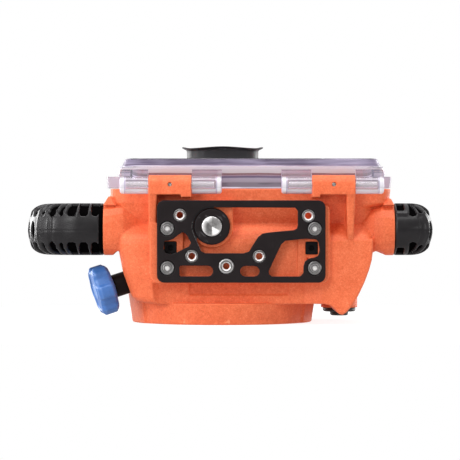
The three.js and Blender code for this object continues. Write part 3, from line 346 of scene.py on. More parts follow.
def painted_flank_bands(g, surface):
    """The clear back's flanks, painted in bands by height with highlight, shade and the reflections seen in them:
    skirt, flange and the raised panel's deep violet edge.
    """
    normal = g.add("ShaderNodeSeparateXYZ", None, Vector=g.facing)
    upright = g.map(g.math("ABSOLUTE", normal.outputs[2]), 0.85, 0.45, smooth=True)
    part = g.add("ShaderNodeSeparateXYZ", None, Vector=g.at)
    x, y, z = part.outputs
    wander = g.math("MULTIPLY", g.math("SUBTRACT", g.noise(1.0, 2.0, 0.5, at=g.scaled(38.0, 38.0, 260.0)), 0.5), 0.0012)
    height = g.map(g.math("ADD", z, wander), 0.090, 0.120)

    def at(mm):
        return (mm - 90.0) / 30.0

    # painted bands: the white lines are painted highlights, the dark lines painted shade
    bands = g.ramp(height,
        (at(95.9), (0.50, 0.44, 0.56)), (at(96.3), (0.90, 0.87, 0.94)), (at(97.0), (0.88, 0.84, 0.92)), (at(97.5), (0.17, 0.14, 0.17)), (at(100.0), (0.13, 0.11, 0.13)),
        (at(101.0), (0.34, 0.29, 0.33)), (at(103.2), (0.38, 0.33, 0.38)), (at(103.9), (0.13, 0.095, 0.155)), (at(104.7), (0.13, 0.095, 0.155)), (at(105.3), (0.32, 0.22, 0.25)),
        (at(106.2), (0.17, 0.075, 0.08)), (at(106.8), (0.24, 0.12, 0.12)), (at(107.3), (0.54, 0.46, 0.47)), (at(110.2), (0.58, 0.51, 0.53)), (at(111.2), (0.78, 0.74, 0.80)), (at(112.0), (0.80, 0.76, 0.84)),
        (at(112.5), (0.22, 0.17, 0.28)), (at(113.2), (0.080, 0.060, 0.105)), (at(115.2), (0.105, 0.080, 0.138)), (at(116.4), (0.085, 0.064, 0.110)), (at(117.4), (0.060, 0.043, 0.075)))
    # painted light: the violet edge is paler towards its two ends, and uneven along its length
    ends = g.map(g.math("ABSOLUTE", g.math("ADD", x, 0.004)), 0.046, 0.086, 0.0, 0.62, smooth=True)
    streaks = g.noise(1.0, 3.0, 0.6, at=g.scaled(30.0, 30.0, 520.0))
    cloud = g.map(g.math("ADD", g.noise(1.0, 2.0, 0.5, at=g.scaled(30.0, 30.0, 60.0)), g.math("MULTIPLY", g.math("SUBTRACT", streaks, 0.5), 1.1)), 0.38, 0.72, -0.12, 0.46)
    violet = g.map(z, 0.1126, 0.1132)
    pale = g.math("MULTIPLY", g.math("ADD", ends, cloud, clamp=True), violet)
    bands = g.mix(pale, bands, (0.34, 0.29, 0.41))
    # painted shade: dark patches in the skirt, standing for dark things seen through it
    patch = g.math("MULTIPLY", g.map(g.noise(1.0, 1.0, 0.5, at=g.scaled(42.0, 42.0, 120.0)), 0.46, 0.56, smooth=True), g.map(z, 0.1008, 0.1002))
    bands = g.mix(g.math("MULTIPLY", patch, 0.45), bands, (0.30, 0.26, 0.30))
    # the hinge knuckles, painted with highlight and shade: a bright base, the pin's bed, a pale wall at each free end,
    # and dark streaks as painted reflections
    rounds = g.ramp(height,
        (at(92.0), (0.48, 0.40, 0.56)), (at(92.7), (0.90, 0.87, 0.93)), (at(95.0), (0.92, 0.89, 0.94)), (at(95.6), (0.60, 0.36, 0.34)), (at(96.2), (0.66, 0.61, 0.61)),
        (at(100.8), (0.66, 0.61, 0.61)), (at(101.6), (0.30, 0.25, 0.30)), (at(102.2), (0.50, 0.44, 0.50)), (at(103.6), (0.44, 0.38, 0.44)), (at(104.3), (0.72, 0.67, 0.74)), (at(107.5), (0.78, 0.73, 0.80)))
    near = None
    for end in (-76.77, -5.07, 36.93, 108.93):
        d = g.math("ABSOLUTE", g.math("SUBTRACT", x, end / 1000))
        near = d if near is None else g.math("MINIMUM", near, d)
    wall = g.ramp(g.map(near, 0.0, 0.006), (0.0, (0.50, 0.43, 0.60)), (0.12, (0.92, 0.90, 0.95)), (0.50, (0.94, 0.92, 0.96)), (0.58, (0.42, 0.36, 0.52)), (0.68, (0.70, 0.64, 0.74)))
    rounds = g.mix(g.map(near, 0.0048, 0.0040), rounds, wall)
    painted_reflection_streaks = None
    for middle, half in ((-60.4, 3.0), (-23.9, 2.6), (-10.2, 2.4), (39.3, 2.2), (54.2, 3.0), (91.6, 2.6)):
        d = g.map(g.math("ABSOLUTE", g.math("SUBTRACT", x, middle / 1000)), half / 1000 + 0.0003, half / 1000 - 0.0003)
        painted_reflection_streaks = d if painted_reflection_streaks is None else g.math("MAXIMUM", painted_reflection_streaks, d)
    stripe = g.ramp(g.map(z, 0.1045, 0.1105), (0.0, (0.0, 0.0, 0.0)), (0.06, (0.8, 0.8, 0.8)), (0.20, (0.15, 0.15, 0.15)), (0.42, (0.10, 0.10, 0.10)), (0.50, (0.75, 0.75, 0.75)), (0.62, (0.2, 0.2, 0.2)), (0.70, (0.7, 0.7, 0.7)), (0.82, (0.0, 0.0, 0.0)))
    painted_reflection_streaks = g.math("MULTIPLY", painted_reflection_streaks, g.add("ShaderNodeSeparateColor", None, Color=stripe).outputs[0])
    rounds = g.mix(painted_reflection_streaks, rounds, (0.24, 0.17, 0.23))
    knuckle = g.map(y, -0.0686, -0.0700)
    bands = g.mix(knuckle, bands, rounds)
    # painted highlight: the tabs at the two ends are pale
    tab = g.map(g.math("ABSOLUTE", g.math("SUBTRACT", x, 0.01583)), 0.0940, 0.0955)
    bands = g.mix(tab, bands, (0.58, 0.52, 0.58))
    rough = g.map(g.noise(300.0, 2.0, 0.6), 0.3, 0.7, 0.30, 0.42)
    flank_paint = g.add("ShaderNodeBsdfPrincipled", None, **{"Base_Color": bands, "Roughness": rough, "Specular_IOR_Level": 0.35})
    front = g.math("ADD", 0.72, g.math("MULTIPLY", violet, 0.22))
    bore = g.math("ADD", g.math("MULTIPLY", g.map(z, 0.0962, 0.0954), 0.45), g.math("MULTIPLY", g.map(near, 0.0044, 0.0038), 0.45), clamp=True)
    hinge = g.math("ADD", g.math("ADD", 0.26, bore), g.math("MULTIPLY", g.map(z, 0.1014, 0.1020), 0.5), clamp=True)
    upright = g.math("MAXIMUM", upright, g.math("MULTIPLY", knuckle, g.map(z, 0.0958, 0.0950)))
    amount = g.math("MULTIPLY", upright, g.math("ADD", g.math("MULTIPLY", front, g.math("SUBTRACT", 1.0, knuckle)), g.math("MULTIPLY", hinge, knuckle)), clamp=True)
    mixed = g.add("ShaderNodeMixShader", None, Fac=g.math("ADD", amount, 0.03))
    g.tree.links.new(surface, mixed.inputs[1])
    g.tree.links.new(flank_paint.outputs[0], mixed.inputs[2])
    return mixed.outputs[0]


ORANGE = orange_nylon()
RUBBER = black_rubber()
SILICONE = soft_rubber()
PLASTIC = black_plastic()
ANODISED = anodised()
TRAY = anodised("grey_anodised_tray", 0.035, 0.06, 0.32, 0.44)
STEEL = steel()
BRUSHED = steel("brushed_steel_pin", (0.05, 1.0, 1.0), 0.46, 0.58, 0.44)
# the tones by radius below paint shade into the grooves and highlight on the chamfers and rings
SPUN = turned_metal(Graph("spun_stainless_steel"), [(0.0, grey(0.22)), (0.12, grey(0.36)), (0.45, grey(0.28)), (0.80, grey(0.44)), (1.0, grey(0.72))], 0.0071, valve_glint)
SCREW = turned_metal(Graph("cap_screw_steel"), [(0.0, grey(0.40)), (0.34, grey(0.30)), (0.44, grey(0.16)), (0.58, grey(0.40)), (0.66, grey(0.17)), (0.82, grey(0.22)), (0.92, grey(0.44)), (1.0, grey(0.40))], 0.0049, screw_glint)
INSERT = turned_metal(Graph("insert_steel"), [(0.0, grey(0.6)), (0.55, grey(0.7)), (0.72, grey(0.55)), (0.78, grey(0.12)), (0.88, grey(0.26)), (1.0, grey(0.42))], 0.0044, insert_glint)
DARK = anodised("dark_nut_steel", 0.004, 0.008, 0.45, 0.6)
BLUE = blue_plastic()
CLEAR = clear_plastic("clear_polycarbonate", (0.975, 0.965, 0.985), (0.38, 0.31, 0.55), 22.0, edges=painted_flank_bands)
WINDOW = clear_plastic("window_acrylic", (0.98, 0.985, 0.99), (0.7, 0.75, 0.85), 3.0, 0.01, 0.03)

BY_SLOT = {
    "orange_shell": ORANGE, "clear_back": CLEAR, "black_rubber": RUBBER, "black_plastic": PLASTIC, "black_anodised": ANODISED,
    "stainless": STEEL, "blue_plastic": BLUE, "seal_rubber": SILICONE, "window": WINDOW, "tray_metal": TRAY,
}


# ------------------------------------------------------------------ meshes
def link(name, mesh, body, material, replaces=(), at=None):
    o = bpy.data.objects.new(name, mesh)
    scene.collection.objects.link(o)
    if at is not None:
        o.location = row(at)
    mesh.materials.clear()
    mesh.materials.append(material)
    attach(o, body)
    if replaces:
        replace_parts(o, *replaces)
    return o


def mesh_of(name, points, faces, at=(0.0, 0.0, 0.0), smooth=True):
    """points in drawn millimetres, stored relative to the drawn point at, or to the row frame's origin."""
    p = (np.array(points, float).reshape(-1, 3) - (SHIFT if tuple(at) == (0.0, 0.0, 0.0) else np.array(at))) * MM
    mesh = bpy.data.meshes.new(name)
    mesh.from_pydata(p.tolist(), [], faces)
    bm = bmesh.new()
    bm.from_mesh(mesh)
    bmesh.ops.recalc_face_normals(bm, faces=bm.faces)
    bm.to_mesh(mesh)
    bm.free()
    for f in mesh.polygons:
        f.use_smooth = smooth
    return mesh


def skin(rings, caps=(True, True), start=0):
    """Faces over a stack of equal rings."""
    n = len(rings[0])
    faces = []
    for k in range(len(rings) - 1):
        for i in range(n):
            j = (i + 1) % n
            a, b = start + k * n + i, start + k * n + j
            faces.append((a, b, b + n, a + n))
    if caps[0]:
        faces.append(tuple(start + i for i in reversed(range(n))))
    if caps[1]:
        faces.append(tuple(start + (len(rings) - 1) * n + i for i in range(n)))
    return faces


def smoothstep(x):
    x = np.clip(x, 0.0, 1.0)
    return x * x * (3 - 2 * x)


def weld_copy(node):
    """The node's mesh in millimetres of the row frame, welded, as a bmesh."""
    bm = bmesh.new()
    bm.from_mesh(NODES[node].data)
    bmesh.ops.scale(bm, vec=(1000.0,) * 3, verts=bm.verts)
    bmesh.ops.remove_doubles(bm, verts=bm.verts, dist=0.0008)
    bmesh.ops.recalc_face_normals(bm, faces=bm.faces)
    return bm


def moulded(node, name, voxel, passes, keep, material):
    """The node's shape with its edges rounded all over, as a mould leaves them."""
    bm = weld_copy(node)
    mesh = bpy.data.meshes.new(name)
    bm.to_mesh(mesh)
    bm.free()
    o = bpy.data.objects.new(name + "_raw", mesh)
    scene.collection.objects.link(o)
    size = voxel * 1.0
    m = o.modifiers.new("even", "REMESH")
    m.mode, m.voxel_size, m.adaptivity = "VOXEL", size, 0.0
    m = o.modifiers.new("round", "SMOOTH")
    m.factor, m.iterations = 0.5, max(1, round(passes / (1.0)))
    if keep < 1:
        m = o.modifiers.new("thin", "DECIMATE")
        m.ratio = keep
    dg = bpy.context.evaluated_depsgraph_get()
    made = bpy.data.meshes.new_from_object(o.evaluated_get(dg))
    bpy.data.objects.remove(o)
    bpy.data.meshes.remove(mesh)
    made.name = name
    made.transform(Matrix.Scale(MM, 4))
    for f in made.polygons:
        f.use_smooth = True
    return link(name, made, BODY[node], material, (node,))


def eased(node, material, width, angle=32.0, segments=2):
    """The node itself, welded and flattened by modifiers, with a small bevel on its sharp edges."""
    o = NODES[node]
    o.data.materials.clear()
    o.data.materials.append(material)
    if "custom_normal" in o.data.attributes:
        o.data.attributes.remove(o.data.attributes["custom_normal"])
    for f in o.data.polygons:
        f.use_smooth = True
    m = o.modifiers.new("weld", "WELD")
    m.merge_threshold = 1e-6
    m = o.modifiers.new("flat", "DECIMATE")
    m.decimate_type, m.angle_limit = "DISSOLVE", math.radians(0.6)
    m = o.modifiers.new("ease", "BEVEL")
    m.width, m.segments, m.limit_method, m.angle_limit = width * MM, segments, "ANGLE", math.radians(angle)
    m.harden_normals, m.use_clamp_overlap, m.miter_outer = True, True, "MITER_ARC"
    m = o.modifiers.new("weighted", "WEIGHTED_NORMAL")
    m.keep_sharp = True
    return o


# ------------------------------------------------------------------ shell and clear back
moulded("accessory_plate", "accessory_plate_cut", 0.28, 3, 0.16, ANODISED)
moulded("valve_body", "valve_collar", 0.22, 3, 0.3, ANODISED)
moulded("main_shell", "housing_shell", 0.5, 2, 0.24, ORANGE)

# ------------------------------------------------------------------ rubber grips
ARM_Z, ARM_R = 67.4, 18.5
POWER = 2.85  # the section is a circle squared off to this power


def squared(c):
    return np.sign(c) * np.abs(c) ** (2 / POWER)


PITCH = 8.568


# middles and half widths of the left grip's tread windows, along the outside of one arm and half of the bar
WINDOWS = np.array([(5.3, 2.9), (13.3, 3.5), (21.4, 3.45), (28.0, 1.6), (34.6, 3.2), (42.0, 1.7)] + [(50.6 + 7.87 * i, 3.3) for i in range(7)])


def recess(offset, angle, half_top, half_end, first, depth, wall=0.5, round_end=1.4):
    """Depth of a row of tread windows. offset: distance along the grip from a window's middle, angle: degrees round the
    section from its outward face. A window starts at first, widens a little, and ends at the crest."""
    a = np.minimum(np.abs(angle), 180 - np.abs(angle))
    half = half_end + (half_top - half_end) * smoothstep((a - first) / 22.0)
    end = np.maximum(first - a, a - 82.5) * math.pi / 180 * ARM_R
    q = np.hypot(np.maximum(np.abs(offset) - half + round_end, 0), np.maximum(end + round_end, 0)) - round_end
    return depth * smoothstep(-q / wall + 0.5)


def oval(offset, up, half, tall, depth, wall=0.5):
    q = (np.hypot(offset / half, up / tall) - 1) * half
    return depth * smoothstep(-q / wall + 0.5)


def recess_shade(mesh, amount):
    """Marks the bottoms of the tread's windows, where the rubber paints shade: darker and without reflection."""
    mesh.attributes.new("recess_shade", "FLOAT", "POINT").data.foreach_set("value", np.clip(np.asarray(amount, np.float32).reshape(-1), 0, 1))


def left_grip():
    bend, mid = 21.0, -101.4
    y0, y1 = -37.5, 66.0
    stations = []  # x, y, outward x, outward y, distance along the outside
    step = 0.62
    arm = np.linspace(0, 16.8, int(16.8 / step) + 1)
    turn = np.linspace(0, math.pi / 2, int(50.3 / step * 1.1) + 1)
    bar = np.linspace(0, 61.5, int(61.5 / step) + 1)
    for a in arm:
        stations.append((-84.6 - a, y0, 0.0, -1.0, a))
    for b in turn[1:]:
        stations.append((mid - bend * math.sin(b), y0 + bend - bend * math.cos(b), -math.sin(b), -math.cos(b), 16.8 + 32 * b))
    for s in bar[1:]:
        stations.append((mid - bend, y0 + bend + s, -1.0, 0.0, 67.07 + s))
    for b in turn[1:]:
        stations.append((mid - bend * math.cos(b), y1 - bend + bend * math.sin(b), -math.cos(b), math.sin(b), 128.57 + 32 * b))
    for a in arm[1:]:
        stations.append((mid + a, y1, 0.0, 1.0, 178.84 + a))
    st = np.array(stations)
    total = 195.64
    n = 176
    ang = np.arange(n) * 360.0 / n
    signed = (ang + 180) % 360 - 180
    along = np.minimum(st[:, 4], total - st[:, 4])
    A, T = np.meshgrid(along, signed, indexing="ij")
    nearest = np.argmin(np.abs(along[:, None] - WINDOWS[None, :, 0]), axis=1)
    middle, half = WINDOWS[nearest, 0][:, None] * np.ones_like(A), WINDOWS[nearest, 1][:, None] * np.ones_like(A)
    t = np.radians(T)
    r = ARM_R * (np.abs(np.cos(t)) ** POWER + np.abs(np.sin(t)) ** POWER) ** (-1 / POWER)
    windows = recess(A - middle, T, half, half * 0.76, 30.5, 1.0)
    r -= 2.9 * windows
    # two mould halves, each falling away from the parting line
    up = np.radians(T) * ARM_R + 1.0
    r -= 0.075 * np.abs(up) * smoothstep((40 - np.abs(T)) / 12)
    # the bend is stepped: a groove across its face, and a raised ring beyond it
    r -= 1.0 * np.exp(-(((A - 34.8) / 1.3) ** 2)) * smoothstep((34 - np.abs(T)) / 4)
    r += 0.35 * np.exp(-(((A - 45.6) / 0.7) ** 2)) * smoothstep((60 - np.abs(T)) / 6)
    k = 50.8 + 7.84 * np.clip(np.round((A - 50.8) / 7.84), 0, 6)
    r -= oval(A - k, up, 2.3, 6.3, 1.5)
    # a second, smaller row of ovals between them near the inside of the loop
    inner = np.radians(180 - np.abs(T)) * ARM_R
    r -= oval(A - middle, inner, 1.8, 4.6, 0.9) * (A > 60)
    line = np.exp(-((up / 0.42) ** 2)) + np.exp(-((inner / 0.42) ** 2))
    r -= 0.28 * line * (oval(A - k, up, 2.9, 6.9, 1.0) < 0.2)
    # notched collar against the shell
    tooth = (np.abs(((T + 360) % 30) - 15) < 5.5) * 0.55
    collar = smoothstep((2.9 - A) / 0.5)
    r -= collar * (1.25 - tooth) * (np.abs(T) < 62)
    r -= 0.5 * smoothstep((0.7 - A) / 0.7)
    x = st[:, 0:1] + st[:, 2:3] * r * np.cos(t)
    y = st[:, 1:2] + st[:, 3:4] * r * np.cos(t)
    z = ARM_Z + r * np.sin(t)
    rings = np.stack([x, y, z], axis=2)
    mesh = mesh_of("left_grip_tread", rings.reshape(-1, 3), skin(rings))
    # painted shade in the windows, the ovals and the collar's notch
    recess_shade(mesh, windows + oval(A - k, up, 2.3, 6.3, 1.0) + collar * (np.abs(T) < 62))
    link("left_grip_tread", mesh, BODY["left_grip"], RUBBER, ("left_grip",))


def right_grip():
    cx, cz, rad = 131.8, 67.4, 18.5
    ya, yb = -37.4, 61.9  # centres of the rounded ends
    step = 0.66
    # outline of the section across X: a stadium in Y and Z
    straight = np.linspace(0, yb - ya, int((yb - ya) / step) + 1)
    half = np.linspace(0, math.pi, int(math.pi * rad / step) + 1)
    outline = []  # centre y, unit y, unit z, along the bar
    for s in straight[:-1]:
        outline.append((ya + s, 0.0, 1.0))
    for b in half[:-1]:
        outline.append((yb, math.sin(b), math.cos(b)))
    for s in straight[:-1]:
        outline.append((yb - s, 0.0, -1.0))
    for b in half[:-1]:
        outline.append((ya, -math.sin(b), -math.cos(b)))
    out = np.array(outline)
    levels = [(122.75 + d, 0.0) for d in np.linspace(0, 9.05, int(9.05 / step) + 1)]
    levels += [(cx, b) for b in np.linspace(0, math.pi / 2 - 0.012, int(math.pi / 2 * rad / step) + 1)[1:]]
    lev = np.array(levels)
    X0 = lev[:, 0:1] * np.ones((1, len(out)))
    B = lev[:, 1:2] * np.ones((1, len(out)))
    CY = out[None, :, 0] * np.ones((len(lev), 1))
    # unit direction of the surface away from the bar's axis
    nx = squared(np.sin(B))
    ny = squared(np.cos(B)) * out[None, :, 1]
    nz = squared(np.cos(B)) * out[None, :, 2]
    theta = np.degrees(np.arctan2(nz, np.hypot(nx, ny)))  # above the bar's own middle plane
    on_end = np.abs(out[None, :, 1]) > 1e-6
    azimuth = np.degrees(np.arctan2(nx, np.abs(ny) + 1e-9)) * np.ones_like(B)
    r = np.full(B.shape, rad)
    rise = np.radians(theta) * rad + 1.0
    r -= 0.075 * np.abs(rise) * smoothstep((40 - np.abs(theta)) / 12)
    # the bar itself, and the flats towards the shell
    top = np.where(nx > 0, np.degrees(np.arctan2(np.abs(nz), nx)), 90 + (cx - X0) / rad * 57.3)
    top = np.where((B == 0) & (X0 < cx), 90 + (cx - X0) / rad * 57.3, top)
    mid_y = (ya + yb) / 2
    k = mid_y + PITCH * np.round((CY - mid_y) / PITCH)
    k = np.clip(k, mid_y - 5 * PITCH, mid_y + 5 * PITCH)
    bar = 2.9 * recess(CY - k, np.minimum(top, 106.0), 3.35, 2.7, 30.0, 1.0)
    bar *= smoothstep((X0 - 124.6) / 0.6 + 0.5)
    bar += oval(CY - k, rise, 2.3, 6.3, 1.5) * (nx > 0.2)
    # the rounded ends: windows spread round them like petals
    petal = np.zeros_like(r)
    for centre, width, first in ((15.0, 8.0, 31.0), (38.0, 6.0, 35.0), (66.0, 9.0, 31.0)):
        d = np.abs(azimuth - centre) * math.pi / 180
        q = (d - math.radians(width)) * rad * 0.62
        e = np.maximum((first - np.abs(theta)), (np.abs(theta) - 82.0)) * math.pi / 180 * rad
        f = np.hypot(np.maximum(q + 1.2, 0), np.maximum(e + 1.8, 0)) - 1.5
        petal += 2.5 * smoothstep(-f / 0.5 + 0.5)
    side = np.where(B == 0, (X0 - 126.6), 99.0)
    up = np.radians(np.abs(theta)) * rad
    q = np.hypot(np.maximum(np.abs(side) - 2.2 + 1.2, 0), np.maximum((45.0 - np.abs(theta)) * math.pi / 180 * rad + 1.8, 0)) - 1.5
    petal += np.where(np.abs(side) < 50, 2.5 * smoothstep(-q / 0.5 + 0.5), 0)
    petal += oval((azimuth - 57.0) * math.pi / 180 * rad, rise, 2.3, 6.3, 1.5)
    petal = np.minimum(petal, 2.5)
    r -= np.where(on_end, petal, bar)
    line = np.exp(-((rise / 0.42) ** 2)) * (B + (X0 > 0) > 0)
    keep_line = np.where(on_end, petal < 0.1, bar < 0.1)
    r -= 0.22 * line * keep_line
    # the rounded ends are stepped too
    across = azimuth * math.pi / 180 * rad
    r -= np.where(on_end, 0.8 * np.exp(-(((across - 9.4) / 1.0) ** 2)) - 0.35 * np.exp(-(((across - 15.2) / 0.7) ** 2)), 0) * smoothstep((34 - np.abs(theta)) / 4)
    # a thin step where the grip meets the web
    r -= 0.45 * smoothstep((123.5 - X0) / 0.5 + 0.5) * (B == 0)
    x = X0 + r * nx
    y = CY + r * ny
    z = cz + r * nz
    x = np.minimum(x, 150.0)
    rings = np.stack([x, y, z], axis=2)
    mesh = mesh_of("right_grip_tread", rings.reshape(-1, 3), skin(rings))
    # painted shade in the windows and petals
    recess_shade(mesh, np.clip(np.where(on_end, petal, bar) / 1.9, 0, 1))
    link("right_grip_tread", mesh, BODY["right_grip"], RUBBER, ("right_grip",))


left_grip()
right_grip()


# ------------------------------------------------------------------ eyecup
def rounded(rx, ry, r, corner=14, side=10):
    """A rounded rectangle about 0,0 with points spread along its sides too."""
    r = min(r, rx - 0.01, ry - 0.01)
    pts = []
    for sx, sy, a0 in ((1, -1, -90), (1, 1, 0), (-1, 1, 90), (-1, -1, 180)):
        cx, cy = sx * (rx - r), sy * (ry - r)
        for i in range(corner + 1):
            a = math.radians(a0 + 90 * i / corner)
            pts.append((cx + r * math.cos(a), cy + r * math.sin(a)))
        nx, ny = {-90: (rx, ry - r), 0: (-(rx - r), ry), 90: (-rx, -(ry - r)), 180: (rx - r, -ry)}[a0]
        lx, ly = pts[-1]
        for i in range(1, side):
            pts.append((lx + (nx - lx) * i / side, ly + (ny - ly) * i / side))
    return pts


def eyecup():
    ex, ey = 0.0, 52.0
    #        half x, half y, corner, z, share of the rim's wave
    levels = [
        (16.85, 11.85, 8.0, 117.95, 0), (26.3, 20.3, 14.5, 117.95, 0), (26.9, 20.9, 15, 118.3, 0), (27.2, 21.2, 15, 119.2, 0), (27.05, 21.05, 15, 120.6, 0),
        (26.95, 20.95, 15, 122.4, 0), (27.0, 21.0, 15.2, 124.2, 0), (27.1, 21.1, 15.4, 126.0, 0), (27.2, 21.2, 15.5, 127.2, 0.4), (27.6, 21.6, 15.9, 127.9, 0.8),
        (28.6, 22.6, 16.8, 128.35, 1), (29.8, 23.8, 18.0, 128.6, 1), (30.5, 24.5, 18.7, 128.85, 1), (30.72, 24.72, 18.9, 129.15, 1), (30.55, 24.55, 18.8, 129.42, 1), (29.9, 23.9, 18.4, 129.46, 1),
        (28.6, 22.6, 17.4, 129.2, 1), (27.0, 21.0, 16.0, 128.2, 0.8), (25.6, 19.6, 15, 126.4, 0.3), (24.6, 18.6, 14, 124.2, 0), (23.9, 17.9, 13.2, 122.6, 0),
        (22.8, 16.8, 12.2, 121.7, 0), (20.4, 14.6, 10.4, 121.2, 0), (17.4, 12.4, 8.4, 121.1, 0), (16.85, 11.85, 8.0, 120.6, 0), (16.85, 11.85, 8.0, 119.2, 0),
    ]
    rings = []
    for rx, ry, r, z, wave in levels:
        ring = []
        for x, y in rounded(rx, ry, r):
            u = abs(x) / 30.8
            dip = -1.25 * float(smoothstep(np.array(u / 0.78))) if u < 0.80 else -1.25 + 1.25 * float(smoothstep(np.array((u - 0.80) / 0.20)))
            ring.append((ex + x, ey + y, z + dip * wave))
        rings.append(ring)
    rings.append(rings[0])
    n = len(rings[0])
    points = [p for ring in rings[:-1] for p in ring]
    faces = []
    count = len(rings) - 1
    for k in range(count):
        for i in range(n):
            j = (i + 1) % n
            a, b, c, d = k * n + i, k * n + j, ((k + 1) % count) * n + j, ((k + 1) % count) * n + i
            faces.append((a, b, c, d))
    mesh = mesh_of("eyecup_silicone", points, faces)
    link("eyecup_silicone", mesh, BODY["eyecup"], SILICONE, ("eyecup",))


eyecup()

# ------------------------------------------------------------------ zoom knob
KNOB_AT, KNOB_N = Vector((-68.0, -26.0, 29.5)), Vector((-0.93, -0.208, -0.302)).normalized()
KNOB_TURN = Vector((0, 0, 1)).rotation_difference(KNOB_N)
KNOB_PHASE = 0.694


def knob():
    n = 288
    profile = [  # radius, dip between lobes, height
        (2.86, 0, 12.0), (14.6, 1.2, 12.0), (15.6, 1.5, 12.2), (16.9, 1.9, 13.0), (17.9, 2.3, 13.9), (18.4, 2.45, 14.5), (18.48, 2.5, 15.2), (18.48, 2.5, 16.6),
        (18.48, 2.5, 21.0), (18.48, 2.5, 22.2), (18.3, 2.4, 22.9), (17.6, 2.2, 23.6), (16.6, 1.9, 24.4), (15.7, 1.6, 24.85), (14.9, 1.3, 24.98),
        (14.3, 1.0, 24.8), (13.9, 0.6, 24.3), (13.4, 0.1, 24.1), (12.6, 0, 24.1), (6.2, 0, 24.1), (5.6, 0, 24.3), (5.2, 0, 24.6), (4.6, 0, 24.7), (0.02, 0, 24.7),
    ]
    a = np.arange(n) * 2 * math.pi / n
    w = smoothstep((0.5 + 0.5 * np.cos(6 * (a - KNOB_PHASE))) * 1.35 - 0.14)
    rings = []
    for r, dip, h in profile:
        k = r - dip * np.power(1 - w, 1.5)
        rings.append(np.stack([k * np.cos(a), k * np.sin(a), np.full(n, h)], axis=1))
    inside = [np.stack([2.86 * np.cos(a), 2.86 * np.sin(a), np.full(n, h)], axis=1) for h in (22.7,)]
    rings = [np.stack([0.02 * np.cos(a), 0.02 * np.sin(a), np.full(n, 22.75)], axis=1)] + inside + rings
    turn = np.array(KNOB_TURN.to_matrix())
    local = np.concatenate(rings)
    points = local @ turn.T + np.array(KNOB_AT)
    mesh = mesh_of("zoom_knob_fluted", points, skin(rings))
    link("zoom_knob_fluted", mesh, BODY["zoom_knob"], BLUE, ("zoom_knob",))


knob()


def gland():
    """The knob's black gland: a nut that fills the space behind it, over the neck that screws into the shell."""
    n = 72
    profile = [(3.1, -7.5), (6.7, -7.5), (6.7, 0.7), (8.15, 0.8), (8.2, 1.2), (8.2, 10.2), (8.1, 10.7), (7.8, 11.0), (5.9, 11.2), (5.6, 11.5), (3.3, 11.5), (3.1, 11.3)]
    a = np.arange(n) * 2 * math.pi / n
    turn = np.array(KNOB_TURN.to_matrix())
    rings = [np.stack([r * np.cos(a), r * np.sin(a), np.full(n, h)], axis=1) @ turn.T + np.array(KNOB_AT) for r, h in profile]
    faces = []
    for k in range(len(rings)):
        for i in range(n):
            j, m = (i + 1) % n, (k + 1) % len(rings)
            faces.append((k * n + i, k * n + j, m * n + j, m * n + i))
    mesh = mesh_of("zoom_gland_nut", np.concatenate(rings), faces)
    link("zoom_gland_nut", mesh, BODY["zoom_gland"], DARK, ("zoom_gland",))


gland()


def swept_bar(name, path, section, material, body):
    """A bar along a path of (x, z, outward x, outward z), with its section given as (outward, y)."""
    rings = [[(x + u * ox, y, z + u * oz) for u, y in section] for x, z, ox, oz in path]
    mesh = mesh_of(name, [q for ring in rings for q in ring], skin(rings), smooth=False)
    link(name, mesh, BODY[body], material)


# the plate's window has a ledge that closes on the valve's collar, and its cut edge catches the light
ledge = [(-7.1 + 13.1 * math.cos(math.radians(t)), 69.3 + 13.1 * math.sin(math.radians(t)), math.cos(math.radians(t)), math.sin(math.radians(t))) for t in range(84, 222, 3)]
swept_bar("valve_ledge", ledge, [(-0.12, -66.5), (0.05, -66.9), (1.1, -66.9), (1.1, -64.5), (-0.12, -64.5)], ANODISED, "accessory_plate")
cut = [(-7.1 + 13.9 * math.cos(math.radians(t)), 69.3 + 13.9 * math.sin(math.radians(t)), math.cos(math.radians(t)), math.sin(math.radians(t))) for t in range(168, 206, 3)]
cut += [(-19.55 + (4.6 * k / 4), 63.1 - (10.4 * k / 4), -0.916, -0.401) for k in range(5)]
swept_bar("plate_cut_edge", cut, [(-0.16, -67.6), (0.16, -68.0), (0.5, -67.6)], STEEL, "accessory_plate")


# ------------------------------------------------------------------ turned metal heads on the underside
def turned_y(name, node, profile, centre, material, n=64, hexagon=None):
    """A turned piece about Y: profile is (radius, y), from the axis to the axis. Points in the hexagon range get six sides."""
    x0, z0 = centre
    rings, a = [], np.arange(n) * 2 * math.pi / n
    six = np.cos(math.pi / 6) / np.cos((a % (math.pi / 3)) - math.pi / 6)
    for i, (r, y) in enumerate(profile):
        k = r * (six if hexagon and hexagon[0] <= i <= hexagon[1] else np.ones(n))
        rings.append(np.stack([x0 + k * np.cos(a), np.full(n, y), z0 + k * np.sin(a)], axis=1))
    at = (x0, profile[0][1], z0)
    mesh = mesh_of(name, np.concatenate(rings), skin(rings), at=at)
    return link(name, mesh, BODY[node], material, (node,), at=at)


SCREWS = {"upper_left": (-38.4, 67.8), "lower_left": (-38.4, 40.1), "upper_right": (65.0, 67.6), "lower_right": (65.0, 40.1)}
for side, (x, z) in SCREWS.items():
    turned_y("cap_screw_" + side, "plate_screw_" + side, [
        (0.02, -65.7), (0.5, -65.85), (1.75, -66.5), (1.92, -66.7), (1.96, -67.35), (2.06, -67.56), (2.3, -67.64), (3.0, -67.66), (3.12, -67.56), (3.22, -67.4), (3.36, -67.4), (3.46, -67.58), (3.6, -67.7),
        (4.15, -67.72), (4.6, -67.5), (4.84, -67.1), (4.9, -66.6), (4.9, -65.75), (2.7, -65.72), (2.66, -65.5), (2.66, -57.05), (0.02, -57.05),
    ], (x, z), SCREW, hexagon=(2, 5))
INSERTS = {"top_left": (-29.5, 77.2, 4.35), "top_right": (60.5, 76.7, 4.35), "bottom_left": (-21.2, 48.4, 4.35), "bottom_right": (26.0, 48.3, 4.35), "centre": (3.0, 41.4, 5.15)}
